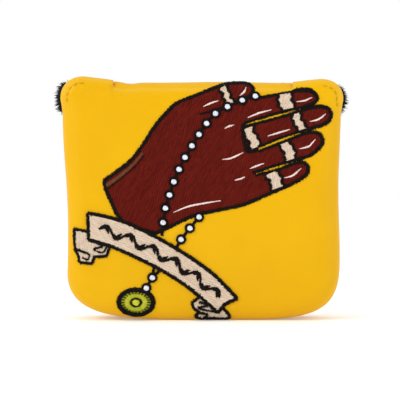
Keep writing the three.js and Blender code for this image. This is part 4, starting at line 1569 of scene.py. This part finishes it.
# ---------- artwork
class Artwork:
    """The embroidered picture: a hand that holds a bead string, over a ribbon and a medallion.

    Points are across and up the face, chosen for this cover and smoothed into curves.
    """

    WRIST = [(-24, 44.2), (-36, 47.5), (-41.6, 51.6), (-45.5, 59), (-48.6, 66), (-49.6, 70.3)]
    BACK_OF_HAND = [
        (-49.6, 70.3), (-43.5, 74.6), (-36, 80.6), (-30, 88.2), (-24.6, 96.8), (-19, 103.6),
        (-13, 109.2), (-5.5, 112.6), (2, 115.7), (10, 118.4), (16, 119.4), (21.5, 119.5), (25, 117.4),
        (24.6, 114.6), (22, 112),
    ]
    INDEX = [
        (22, 112), (29, 112.3), (38, 114.1), (46, 115.5), (52, 115.7), (56, 114.4), (57.2, 112),
        (55.4, 109.2), (49.5, 107.2),
    ]
    INDEX_GAP = [(49.5, 107.2), (38, 104.5), (20.6, 99.4)]
    MIDDLE = [
        (20.2, 97.2), (38, 101.9), (54, 106.8), (60.3, 107.4), (63.6, 105.6), (64, 102.3), (60.6, 98.8),
        (48, 95),
    ]
    MIDDLE_GAP = [(48, 95), (39, 92), (27.4, 87.2)]
    RING_FINGER = [
        (27.8, 84.9), (39.5, 89.4), (51, 93.9), (55.6, 94.6), (59.4, 92.6), (59.5, 88.4), (54.4, 83.6),
        (47, 80.9),
    ]
    RING_GAP = [(47, 80.9), (38, 78.6), (26.5, 75)]
    LITTLE = [
        (26.4, 72.9), (38, 76), (46.4, 79.1), (50.6, 79.3), (52.7, 76.6), (51, 72.8), (45.2, 69.2),
        (38, 66),
    ]
    PALM = [
        (38, 66), (30, 62.6), (20.6, 58.6), (13, 56.8), (4, 55), (-3, 53.6), (-11, 50.2), (-19, 46.2),
        (-24, 44.2),
    ]
    CREASES = [
        ([(22, 112.4), (16, 109.2), (8, 106.4), (-1.5, 103.6)], (2.0, 1.0)),
        ([(20.2, 98.8), (20.5, 92), (22.3, 85.4), (27.6, 86)], (2.2, 2.2)),
        ([(25, 74.4), (30, 75.6)], (1.6, 1.2)),
    ]
    SLEEVE = [(-48.4, 67.8), (-42, 72.4), (-35, 78.4), (-30.4, 84)]
    BANDS = [
        ([(9.6, 117.2), (12, 113.2), (13.8, 109)], 3.0),
        ([(40.6, 114.6), (41.6, 109.8), (42.4, 106.4)], 6.4),
        ([(46.4, 104), (47.8, 100), (49.4, 95.8)], 3.8),
        ([(22.4, 96.8), (24.4, 91.8), (26.4, 87)], 4.4),
        ([(41, 89.4), (42.8, 85.2), (44.2, 81)], 4.8),
        ([(34, 74.4), (36.2, 70.6), (37.6, 66.8)], 5.4),
    ]
    SHINES = [
        [(18.6, 113.4), (20.6, 115.2), (21.6, 117.2)],
        [(0.4, 107.6), (4, 109.2), (7.6, 110.4)],
        [(47, 110), (51, 110.6), (54.6, 112.4)],
        [(22.6, 102), (28, 104.2), (34, 105.8)],
        [(11, 96.6), (13, 97.6), (15.4, 98.2)],
        [(53.6, 100), (58, 101.2), (61.4, 103.8)],
        [(32.6, 92.8), (38, 94.4), (43.4, 96)],
        [(48.4, 86.4), (53, 87.6), (56.2, 91)],
        [(9.8, 81), (14, 81.6), (20, 84.4)],
        [(23.6, 76.4), (27, 77.8), (30.4, 79)],
        [(40.8, 71.8), (45, 73), (49, 76.4)],
        [(16, 70.6), (18.4, 71.2), (20.8, 72.2)],
        [(-14.6, 54.6), (-6, 57.8), (8.8, 60.4)],
    ]
    STRING = [
        (
            26.2, 112.9
        ), (19.6, 110.7), (12.2, 107.4), (6.2, 104), (1.8, 99), (-2, 93.5), (-5.6, 87.8), (-9, 82),
        (-12, 76), (-14.6, 69.8), (-16.8, 63.2), (-18.8, 56.6), (-20, 49.4),
    ]
    STRING_TAIL = [(-20, 49.4), (-20.6, 43)]
    LOOSE_STRING = [(-2, 52.2), (-6.6, 46.6), (-11, 41), (-13.6, 36.4)]
    PENDANT = [(-25.4, 21.8), (-28.4, 16.6)]
    PENDANT_LINKS = [[(-24.4, 28), (-25.4, 21.8)], [(-20.6, 26.4), (-25.4, 21.8)]]
    RIBBON_TOP = [(-57.6, 54), (-43.5, 51), (-27.5, 44.2), (-11, 34.8), (4.5, 24), (17, 11.4)]
    RIBBON_END = [(17, 11.4), (11, 8.6), (7.4, 4.6)]
    RIBBON_FOOT = [(7.4, 4.6), (-4, 14.4), (-14, 21.6), (-27.5, 29.2), (-43.5, 36.6), (-57.2, 41)]
    LEFT_TAIL = [
        (-58.6, 45), (-64.6, 46.2), (-64, 35.4), (-62.2, 32.8), (-61.8, 29.4), (-55.6, 28.9),
        (-54.4, 32.4), (-48.4, 32.6), (-46.6, 37.4), (-57.2, 41),
    ]
    RIGHT_TAIL = [
        (-1.6, 12.4), (-5.6, 9), (-4.6, 6.4), (-1.8, 4.6), (-4, 2.4), (-1, 0.9), (12.6, 1.2),
        (13.6, 2.6), (9.8, 6.8), (7.4, 4.6),
    ]
    FOLDS = [
        [(-57, 41), (-53.6, 39.4), (-50.4, 37.4), (-54.8, 36), (-50.2, 34.4), (-48, 37.6)],
        [(-63.6, 36), (-60, 34.8), (-57, 33.4), (-57.6, 30.8), (-60.2, 31.8)],
        [(-1.8, 9.6), (2.6, 7.8), (-2.6, 6.8), (4.4, 5), (7, 5)],
        [(-2, 4.4), (2.4, 3.2), (0.4, 1.8), (6.4, 1.8)],
    ]
    MEDALLION = (-33.6, 9.4)
    MEDALLION_RADII = (9.2, 6.8)
    BEAD = 1.35
    BEAD_RING = 1.95
    GAP_PLACES = (3, 5, 7)  # which stretches of the hand's outline run between two fingers
    GAP_WIDTH = 1.6
    VINE_TURNS = 11

    def __init__(self, leather: LeatherMap, hinges: Hinges) -> None:
        """Keeps the leather that the picture is sewn to."""
        self.leather = leather
        self.hinges = hinges

    def _needle(self, seed: int) -> Needlework:
        """A needle with a fresh thread."""
        return Needlework(self.leather, seed)

    def _finish(
        self, work: Needlework, name: str, finish: Finish, nodes: tuple[str, ...], folds: bool
    ) -> None:
        """Makes a piece of embroidery; one over the fold has its placement baked in, others are fixed to
        the cover.
        """
        piece = work.draft().make(name, finish)
        if folds:
            self.hinges.front.carry(piece)
        else:
            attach(piece, "cover")
        if nodes:
            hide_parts(*nodes)

    def _fingers(self) -> list[np.ndarray]:
        """The hand's outline as smooth stretches, in order."""
        stretches = [
            self.WRIST, self.BACK_OF_HAND, self.INDEX, self.INDEX_GAP, self.MIDDLE, self.MIDDLE_GAP,
            self.RING_FINGER, self.RING_GAP, self.LITTLE, self.PALM,
        ]
        return [flowing(stretch, 0.5) for stretch in stretches]

    def sew(self) -> None:
        """Sews the whole picture."""
        self._hand()
        self._bands()
        self._beads()
        self._ribbon()
        self._medallion()

    def _hand(self) -> None:
        """The hand's fill, its outline and the lines where the fingers meet."""
        stretches = self._fingers()
        fill = self._needle(1)
        fill.fill(np.vstack(stretches), 62.0, 0.06, 0.26)
        self._finish(fill, "hand_fill", Finish.MAROON, ("hand_fill",), True)
        sleeve = self._needle(2)
        sleeve.satin(flowing(self.SLEEVE, 0.5), (2.2, 1.2), 0.2, 0.42, 0.1)
        self._finish(sleeve, "sleeve_edge", Finish.RUST, (), False)
        outline = self._needle(3)
        for number, stretch in enumerate(stretches):
            width = 2.1
            if number in self.GAP_PLACES:
                width = self.GAP_WIDTH
            elif number - 1 in self.GAP_PLACES:
                width = (self.GAP_WIDTH, 1.7, 2.1, 2.3, 1.9)
            outline.satin(stretch, width)
        for line, widths in self.CREASES:
            outline.satin(flowing(line, 0.5), widths, 0.3, 0.7)
        outline.satin(flowing(self.SLEEVE, 0.5) + (0.9, -1.1), (0.8, 0.5), 0.3, 0.5, 0.08)
        self._finish(outline, "hand_outline", Finish.BLACK, ("hand_outline",), True)

    def _bands(self) -> None:
        """The pale bands round the fingers, with their dark edges, and the shines on the skin."""
        bands, edges, shines = self._needle(4), self._needle(5), self._needle(6)
        for number, (line, width) in enumerate(self.BANDS):
            middle = flowing(line, 0.4)
            _, across = directions(middle)
            turn = np.linspace(0, 7, len(middle))[:, None] + number
            sway, jag = 0.4 * np.sin(turn), 0.45 * np.sin(2.3 * turn)
            left, right = middle + across * (
                width / 2 + sway + jag
            ), middle - across * (width / 2 - sway + jag)
            bands.fill(np.vstack([left, right[::-1]]), 20.0 + 12 * number, 0.3, 0.55, stitch=3.0)
            edges.satin(left + across * 0.45, 1.5, 0.4, 0.85, 0.24)
            edges.satin(right - across * 0.45, 1.5, 0.4, 0.85, 0.24)
        for line in self.SHINES:
            shines.satin(flowing(line, 0.4), (0.35, 0.95, 0.95, 0.35), 0.32, 0.58, 0.06)
        self._finish(bands, "finger_bands", Finish.CREAM, (), True)
        self._finish(edges, "finger_band_edges", Finish.BLACK, (), True)
        self._finish(shines, "skin_shines", Finish.PALE, (), True)

    def _beads(self) -> None:
        """Three bead strings: black links and rings, silver beads."""
        strings = {
            "bead_string": (self.STRING, [self.STRING_TAIL], True),
            "bead_string_end": (self.LOOSE_STRING[:3], [self.LOOSE_STRING[2:]], False),
            "pendant_string": (self.PENDANT, self.PENDANT_LINKS, False),
        }
        for number, (name, (beads, links, folds)) in enumerate(strings.items()):
            silver, black = self._needle(20 + number), self._needle(30 + number)
            for line in [beads, *links]:
                black.satin(flowing(line, 0.4), 1.6, 0.35, 0.75, 0.1)
            for spot in beads:
                centre = np.array(spot, float)
                black.ring(centre, (self.BEAD_RING, self.BEAD_RING), 1.4, 0.45, 0.95)
                silver.disc(centre, (self.BEAD, self.BEAD), 0.7, 1.15)
            self._finish(silver, name, Finish.SILVER, (name,), folds)
            self._finish(black, name + "_links", Finish.BLACK, (), folds)

    def _ribbon(self) -> None:
        """The ribbon and its folded tails, edged in black, with a stitched vine along it."""
        stretches = (self.RIBBON_TOP, self.RIBBON_END, self.RIBBON_FOOT)
        top, end, foot = (flowing(stretch, 0.5) for stretch in stretches)
        left_end = np.array([self.RIBBON_FOOT[-1], self.RIBBON_TOP[0]])
        cloth = self._needle(40)
        cloth.fill(np.vstack([top, end, foot]), -34.0, 0.5, 0.72)
        self._finish(cloth, "ribbon", Finish.CREAM, ("ribbon",), False)
        for side, corners, angle in (("left", self.LEFT_TAIL, 80.0), ("right", self.RIGHT_TAIL, 30.0)):
            name, tail = f"ribbon_tail_{side}", self._needle(41)
            tail.fill(np.array(corners, float), angle, 0.1, 0.34)
            self._finish(tail, name, Finish.CREAM, (name,), False)
        edge = self._needle(42)
        for line in (top, end, foot, spaced(left_end, 0.5)):
            edge.satin(line, 2.1, 0.55, 1.05)
        for corners in (self.LEFT_TAIL, self.RIGHT_TAIL):
            edge.satin(spaced(np.array(corners, float), 0.5), 1.7, 0.3, 0.7)
        for line in self.FOLDS:
            edge.satin(flowing(line, 0.4), (1.3, 0.8), 0.55, 0.95)
        self._finish(edge, "ribbon_outline", Finish.BLACK, ("ribbon_outline",), False)
        self._vine(spaced(top, 0.5), spaced(foot[::-1], 0.5))

    def _vine(self, high: np.ndarray, low: np.ndarray) -> None:
        """A waving vine with a pair of leaves at each turn, between the ribbon's two edges."""
        vine = self._needle(43)
        share = np.linspace(0.07, 0.93, 220)
        edges = [
            np.stack([np.interp(share, np.linspace(0, 1, len(line)), line[:, k]) for k in (0, 1)], axis=1)
            for line in (high, low)
        ]
        spine = (edges[0] + edges[1]) / 2
        along, across = directions(spine)
        swing = 2.6 * np.sin((share - 0.07) / 0.86 * math.pi * self.VINE_TURNS)
        stem = spine + across * swing[:, None]
        vine.satin(stem, 1.35, 0.85, 1.15, 0.14)
        for place in (np.arange(self.VINE_TURNS) + 0.5) / self.VINE_TURNS:
            k = int(place * 219)
            up = np.sign(swing[k])
            for lean, reach in ((2.2, 3.6), (-1.6, 2.2)):
                tip = stem[k] - across[k] * up * reach + along[k] * lean
                vine.satin(np.vstack([stem[k], tip]), (0.8, 2.0, 1.7, 0.4), 0.85, 1.2, 0.1)
        self._finish(vine, "ribbon_vine", Finish.BLACK, (), False)

    def _medallion(self) -> None:
        """A round medallion with a plain boss, rays and a dark rim."""
        centre = np.array(self.MEDALLION, float)
        wide, tall = self.MEDALLION_RADII
        disc, rim, rays = self._needle(50), self._needle(51), self._needle(52)
        disc.disc(centre, (wide - 0.6, tall - 0.5), 0.1, 0.34, 35.0)
        rim.ring(centre, (wide - 0.5, tall - 0.5), 2.5, 0.2, 0.8)
        turn = np.linspace(0, TURN, 72, endpoint=False)
        heading = np.stack([np.cos(turn) * wide, np.sin(turn) * tall], axis=1)
        reach = np.where(np.arange(len(turn)) % 3 == 0, 0.84, 0.68)[:, None]
        rays.run(centre + heading * 0.36, centre + heading * reach, 0.3, 0.6, 0.34)
        rim.run(centre + heading[::3] * 0.56, centre + heading[::3] * 0.92, 0.45, 0.75, 0.5)
        rays.disc(centre, (wide * 0.2, tall * 0.2), 0.6, 1.1, 10.0)
        rim.ring(centre, (wide * 0.28, tall * 0.28), 0.9, 0.4, 0.85)
        self._finish(disc, "medallion", Finish.OLIVE, ("medallion",), False)
        self._finish(rays, "medallion_rays", Finish.LIME, (), False)
        self._finish(rim, "medallion_rim", Finish.BLACK, (), False)


# ---------- plush
class Pile:
    """Tufts of plush: many short bent fibres."""

    SIDES = 3

    def __init__(self, seed: int) -> None:
        """Starts with none."""
        self.random = np.random.default_rng(seed)
        self.rows: list[tuple[np.ndarray, np.ndarray, np.ndarray]] = []

    def plant(
        self, roots: np.ndarray, heading: np.ndarray, length: float | np.ndarray, spread: float,
        least: float = 0.55,
    ) -> None:
        """Adds fibres.

        Args:
            roots: where they grow from.
            heading: the way each mostly points.
            length: their usual length.
            spread: how wild they are.
            least: the shortest fibre's share of the usual length.
        """
        lean = unit(heading + self.random.normal(0, spread, heading.shape))
        lengths = length * self.random.uniform(least, 1.15, len(roots))
        self.rows.append((roots, lean, lengths))

    def make(self, name: str, thickness: float, carry: Callable) -> None:
        """Makes all the fibres one piece of plush and fixes it to its body or bakes its placement in."""
        piece = self.draft(thickness).make(name, Finish.FLEECE)
        carry(piece)

    def draft(self, thickness: float) -> Draft:
        """All the fibres as one mesh."""
        root = np.vstack([row[0] for row in self.rows])
        lean = np.vstack([row[1] for row in self.rows])
        length = np.concatenate([row[2] for row in self.rows])[:, None]
        curl = unit(self.random.normal(0, 1, lean.shape)) * np.minimum(length, 3) * 0.22
        knee = root + lean * length * 0.55 + curl * 0.5
        tip = root + lean * length + curl - np.array([0, 0, 0.12]) * length
        side = unit(np.cross(lean, unit(self.random.normal(0, 1, lean.shape))))
        other = np.cross(lean, side)
        turns = (np.arange(self.SIDES) * 2 * math.pi / self.SIDES)[None, :, None]
        ring = side[:, None] * np.cos(turns) + other[:, None] * np.sin(turns)
        points = np.concatenate(
            [root[:, None] + ring * thickness / 2, knee[:, None] + ring * thickness * 0.36, tip[:, None]],
            axis=1,
        )
        faces = []
        base = np.arange(len(root)) * 7
        for corner in range(3):
            turn = (corner + 1) % 3
            wall = [base + corner, base + turn, base + 3 + turn, base + 3 + corner]
            faces += np.stack(wall, axis=1).tolist()
            faces += np.stack([base + 3 + corner, base + 3 + turn, base + 6], axis=1).tolist()
        faces += np.stack([base + 2, base + 1, base], axis=1).tolist()
        kept = {"tip": np.tile((0, 0, 0, 0.5, 0.5, 0.5, 1.0), len(root)), "edge": np.zeros(len(root) * 7)}
        return Draft(points.reshape(-1, 3), faces, kept)


@dataclass
class PlushEdges:
    """The plush that shows past the leather's free edges and lines the lid and the mouth."""

    sizes: CoverSizes
    front: FrontSheet
    back: BackSheet
    gusset: GussetStrip
    flap: FlapSheet
    hinges: Hinges
    EAR_TUFT = 6.6
    EAR_ROWS = ((4.9, 26, 0.98), (5.6, 26, 1.0), (6.4, 20, 0.95), (7.2, 12, 0.8))

    def ears(self) -> None:
        """Thick tufts behind the edge of each ear."""
        panel = self.front.panel
        edge = panel.edge
        for side, sign in (("right", 1), ("left", -1)):
            pile = Pile(60 + sign)
            chosen = (edge.free > 0.12) & ~edge.lid & (edge.at[:, 0] * sign > 0)
            out = np.stack([edge.out[:, 0], np.full(len(edge.out), 0.2), edge.out[:, 1]], axis=1)
            for inset, count, length in self.EAR_ROWS:
                base = panel.rolled(edge.turn, inset)[chosen] + (0, 0.7, 0)
                flank = 0.35 + 0.65 * fade(np.abs(edge.out[chosen][:, 0]), 0.45, 0.9)
                flank = np.repeat(flank * (0.4 + 0.6 * fade(edge.free[chosen], 0.05, 0.4)), count)
                stray = pile.random.normal(0, 0.45, (len(base) * count, 3))
                roots = np.repeat(base, count, axis=0) + stray
                reach = (self.EAR_TUFT - 0.5 * sign) * length * flank
                pile.plant(roots, np.repeat(out[chosen], count, axis=0), reach, 0.09, 0.82)
            pile.make(f"ear_tuft_{side}", 0.8, with_cover)

    def mouth(self) -> None:
        """A shaggy line along the back rim and the tops of the side strips."""
        pile = Pile(70)
        panel = self.back.panel
        rim = panel.edge.free > 0.1
        for inset in (4.8, 6.0):
            base = panel.rolled(panel.edge.turn, inset)[rim]
            roots = np.repeat(base, 12, axis=0) + pile.random.normal(0, 0.6, (len(base) * 12, 3))
            pile.plant(roots, np.tile((0, -0.5, 1.0), (len(roots), 1)), 2.6, 0.35)
        edge, count = self.gusset.edge, 150
        for end in (0, -1):
            for inset in (4.6, 5.8):
                spot = edge.at[end] - edge.out[end] * inset
                y = pile.random.uniform(-self.sizes.gusset_half, self.sizes.gusset_half, count)
                line = np.stack([np.full(count, spot[0]), y, np.full(count, spot[1])], axis=1)
                roots = line + pile.random.normal(0, 0.5, (count, 3))
                pile.plant(roots, np.tile((0, 0, 1.0), (count, 1)), 3.0, 0.4)
        pile.make("mouth_pile", 0.34, with_cover)

    def scatter(
        self, name: str, lining: tuple, facing: tuple, keep: Callable, count: int, length: float,
        carry: Callable,
    ) -> None:
        """Covers part of a lining with short pile that lies downwards.

        Args:
            name: the piece's name.
            lining: the lining's points and faces.
            facing: the way the pile's side mostly faces.
            keep: picks the places that get pile.
            count: how many fibres.
            length: their usual length.
            carry: fixes the piece to its body or bakes its placement in.
        """
        pile = Pile(len(name))
        points, faces = lining
        corners = np.array([face for face in faces if len(face) == 4], int)
        corners = corners[keep(*points[corners].mean(axis=1).T)]
        a, b, c, d = (points[corners[:, k]] for k in range(4))
        across = np.cross(c - a, d - b)
        area = np.linalg.norm(across, axis=1)
        normal = unit(across) * np.sign(across @ facing)[:, None]
        chosen = pile.random.choice(len(corners), count, p=area / area.sum())
        u, v = pile.random.random((2, count, 1))
        near, far = a[chosen] * (1 - u) + b[chosen] * u, d[chosen] * (1 - u) + c[chosen] * u
        roots = near * (1 - v) + far * v
        pile.plant(roots, normal[chosen] * 0.6 + (0, 0, -0.5), length, 0.4)
        pile.make(name, 0.55, carry)

    def linings(self) -> None:
        """Pile on the insides that show when the lid is open."""
        sizes, flap, front, back = self.sizes, self.flap, self.front.panel, self.back.panel
        lid = sizes.lid_wall + PLY_GAP + sizes.lid_plush
        face = sizes.face_wall + PLY_GAP + sizes.plush
        wall = sizes.wall + PLY_GAP + sizes.plush
        rear = (flap.surface(lid), flap.skin())
        fore = (front.surface(face, lid), front.skin()[0])
        inside = (back.surface(wall, 0), back.skin()[0])
        behind, above = self.hinges.back.carry, self.hinges.front.carry
        for name, lining, facing, keep, count, length, carry in (
            ("flap_pile", rear, (0, -1, -1), lambda x, y, z: (z < 108) | (y < 10), 11000, 1.1, behind),
            ("roof_pile", fore, (0, 0, -1), lambda x, y, z: (z > 112) & (y > -10), 2600, 1.2, above),
            ("front_pile", fore, (0, 1, 0), lambda x, y, z: (z > 76) & (y < -11), 8000, 2.0, with_cover),
            ("back_pile", inside, (0, -1, 0), lambda x, y, z: z > 80, 6000, 2.0, with_cover),
        ):
            self.scatter(name, lining, facing, keep, count, length, carry)


# ---------- the cover
class Cover:
    """The whole cover, sub-assembly by sub-assembly."""

    def __init__(self) -> None:
        """Reads the frame and draws the pattern."""
        self.sizes = CoverSizes.from_frame()
        self.pattern = Pattern(self.sizes)
        self.hinges = Hinges(self.sizes)
        self.front = FrontSheet(self.sizes, self.pattern, self.hinges)
        columns = int(self.front.panel.edge.lid.sum())
        self.flap = FlapSheet(self.sizes, columns, self.hinges)
        self.back = BackSheet(self.sizes, self.pattern)
        self.gusset = GussetStrip(self.sizes, self.pattern)
        self.surfaces: dict[str, Surface] = {}

    def build_leather(self) -> None:
        """The four padded leather panels."""
        sizes = self.sizes
        face = ("front_leather", "embroidery_backing", "front_foam", "roof_leather", "roof_foam")
        for sheet, name, inner, bulge, nodes, fill in (
            (self.front, "front_panel", sizes.face_wall, 1.7, face, 0.55),
            (self.flap, "flap_panel", 0, 1.5, ("flap_leather", "flap_foam"), 0.5),
            (self.back, "back_panel", sizes.wall, 0.7, ("back_leather", "back_foam"), 0.55),
            (self.gusset, "gusset_strip", sizes.wall, 1.6, ("gusset_leather", "gusset_foam"), 0.5),
        ):
            ply = Ply(name, Finish.LEATHER, 0, inner, 0, sizes.lid_wall, bulge, nodes, "leather")
            piece, self.surfaces[name] = sheet.build(ply)

    def build_linings(self) -> None:
        """The plush inside."""
        sizes = self.sizes
        face, wall, lid = (ply + PLY_GAP for ply in (sizes.face_wall, sizes.wall, sizes.lid_wall))
        for sheet, name, outer, bulge, nodes in (
            (self.front, "front_plush", face, 1.0, ("front_lining", "roof_lining")),
            (self.flap, "flap_plush", 0, 1.0, ("flap_lining",)),
            (self.back, "back_plush", wall, 1.0, ("back_lining",)),
            (self.gusset, "gusset_plush", wall, 0.8, ("gusset_lining",)),
        ):
            depths = (outer, outer + sizes.plush, lid, lid + sizes.lid_plush)
            sheet.build(Ply(name, Finish.FLEECE, *depths, bulge, nodes, "fleece", plush=True))

    def build_pile(self) -> None:
        """The tufts at the ears and the mouth."""
        edges = PlushEdges(self.sizes, self.front, self.back, self.gusset, self.flap, self.hinges)
        edges.ears()
        edges.mouth()
        edges.linings()

    def build_topstitching(self) -> None:
        """Every row of topstitching, stitch by stitch."""
        front, flap, back = (self.surfaces[name] for name in ("front_panel", "flap_panel", "back_panel"))
        ears = self.front.ear_paths().items()
        rows = [(f"ear_stitching_{side}", path, front, "cover") for side, path in ears]
        rows.append(("back_rim_stitching", self.back.rim_path(), back, "cover"))
        rows.append(("flap_stitching", self.flap.stitch_path(), flap, "flap"))
        for side, path in self.flap.side_paths().items():
            forward = path[path[:, 1] <= self.sizes.roof_middle]
            behind = path[path[:, 1] > self.sizes.roof_middle - 0.5]
            rows.append((f"roof_stitching_{side}", forward, front, "roof"))
            rows.append((f"roof_stitching_{side}_rear", behind, flap, "roof"))
        for seed, (name, path, surface, body) in enumerate(rows):
            piece = RunningStitch(surface).sew(path, 80 + seed).make(name + "_row", Finish.SEAM)
            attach(piece, body)
            if name in frame["nodes"]:
                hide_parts(name)

    def build_artwork(self) -> None:
        """The embroidered picture."""
        Artwork(LeatherMap(self.sizes, self.surfaces["front_panel"]), self.hinges).sew()

    def dress_magnets(self) -> None:
        """Gives the magnets and their cups, which stay as they were cut, their finishes."""
        for name, node in frame["nodes"].items():
            if "magnet" in name:
                finish = Finish.CUP if "cup" in name else Finish.MAGNET
                node.data.materials.clear()
                node.data.materials.append(finish.material())


# ---------- studio
@dataclass(frozen=True)
class Studio:
    """A pale floor, a pale surround that is dimmer in front of the cover, soft lights and the camera."""

    aim: tuple[float, float] = (-1.5, 60.7)  # what the camera looks at on the face, across and up
    lens: float = 135.0
    frame_width: float = 200.5  # how much of the face the frame takes in
    sensor: float = 36.0
    floor_radius: float = 40.0

    def build(self, sizes: CoverSizes) -> None:
        """Makes the studio."""
        self._floor()
        self._lights()
        self._camera(sizes)

    def _floor(self) -> None:
        """A round floor that reaches far past the cover."""
        turn = np.linspace(0, TURN, 64, endpoint=False)
        ring = np.stack([np.cos(turn), np.sin(turn), 0 * turn], axis=1) * self.floor_radius
        mesh = bpy.data.meshes.new("studio_floor")
        mesh.from_pydata(ring.tolist(), [], [tuple(range(len(ring)))])
        graph = Graph("pale_floor")
        place = graph.node("ShaderNodeTexCoord").outputs["Object"]
        tone = graph.speckle(3.0, 2.0, place)
        colour = graph.mix(tone, (0.9, 0.9, 0.9), (0.93, 0.93, 0.93))
        mesh.materials.append(
            graph.finish(Base_Color=colour, Roughness=0.9, Emission_Color=colour, Emission_Strength=0.22)
        )
        floor = bpy.data.objects.new("studio_floor", mesh)
        bpy.context.scene.collection.objects.link(floor)

    def _light(
        self, name: str, place: tuple, size: float, power: float, aim: tuple = (0, 0, 0.06)
    ) -> None:
        """One soft square light that faces the cover."""
        lamp = bpy.data.lights.new(name, "AREA")
        lamp.shape = "SQUARE"
        lamp.size = size
        lamp.energy = power
        holder = bpy.data.objects.new(name, lamp)
        holder.location = place
        holder.rotation_euler = (Vector(aim) - Vector(place)).to_track_quat("-Z", "Y").to_euler()
        bpy.context.scene.collection.objects.link(holder)

    def _lights(self) -> None:
        """A key light from the upper left, a top light and the pale surround."""
        self._light("key_light", (-0.95, -0.95, 0.75), 0.7, 8.5)
        self._light("fill_light", (1.1, -0.9, 0.35), 0.8, 3.5)
        self._light("top_light", (-0.2, -0.1, 1.3), 0.7, 1.0)
        world = bpy.data.worlds.new("pale_surround")
        world.use_nodes = True
        tree = world.node_tree
        background = tree.nodes["Background"]
        heading = tree.nodes.new("ShaderNodeSeparateXYZ")
        source = tree.nodes.new("ShaderNodeTexCoord")
        tree.links.new(source.outputs["Generated"], heading.inputs["Vector"])
        ramp = tree.nodes.new("ShaderNodeValToRGB")
        Graph.set_stops(ramp, [(0.0, (0.3, 0.3, 0.3)), (0.36, (1.0, 1.0, 1.0))])
        reach = tree.nodes.new("ShaderNodeMapRange")
        reach.inputs["From Min"].default_value = -1.0
        tree.links.new(heading.outputs["Y"], reach.inputs["Value"])
        tree.links.new(reach.outputs["Result"], ramp.inputs["Fac"])
        tree.links.new(ramp.outputs["Color"], background.inputs["Color"])
        bpy.context.scene.world = world
        bpy.context.scene.view_settings.view_transform = "Standard"

    def _camera(self, sizes: CoverSizes) -> None:
        """A level camera straight in front of the face."""
        data = bpy.data.cameras.new("front_camera")
        data.lens = self.lens
        data.sensor_width = self.sensor
        data.clip_start = 0.02
        camera = bpy.data.objects.new("front_camera", data)
        away = self.lens * self.frame_width / self.sensor
        camera.location = (self.aim[0] * MM, (-sizes.face_depth - away) * MM, self.aim[1] * MM)
        camera.rotation_euler = (QUARTER, 0, 0)
        bpy.context.scene.collection.objects.link(camera)
        bpy.context.scene.camera = camera


def main() -> None:
    """Builds the cover and the studio round it."""
    logging.basicConfig(level=logging.INFO, format="%(name)s %(message)s")
    cover = Cover()
    cover.build_leather()
    cover.build_linings()
    cover.build_pile()
    cover.build_topstitching()
    cover.build_artwork()
    cover.dress_magnets()
    Studio().build(cover.sizes)


if __name__ == "__main__":
    main()
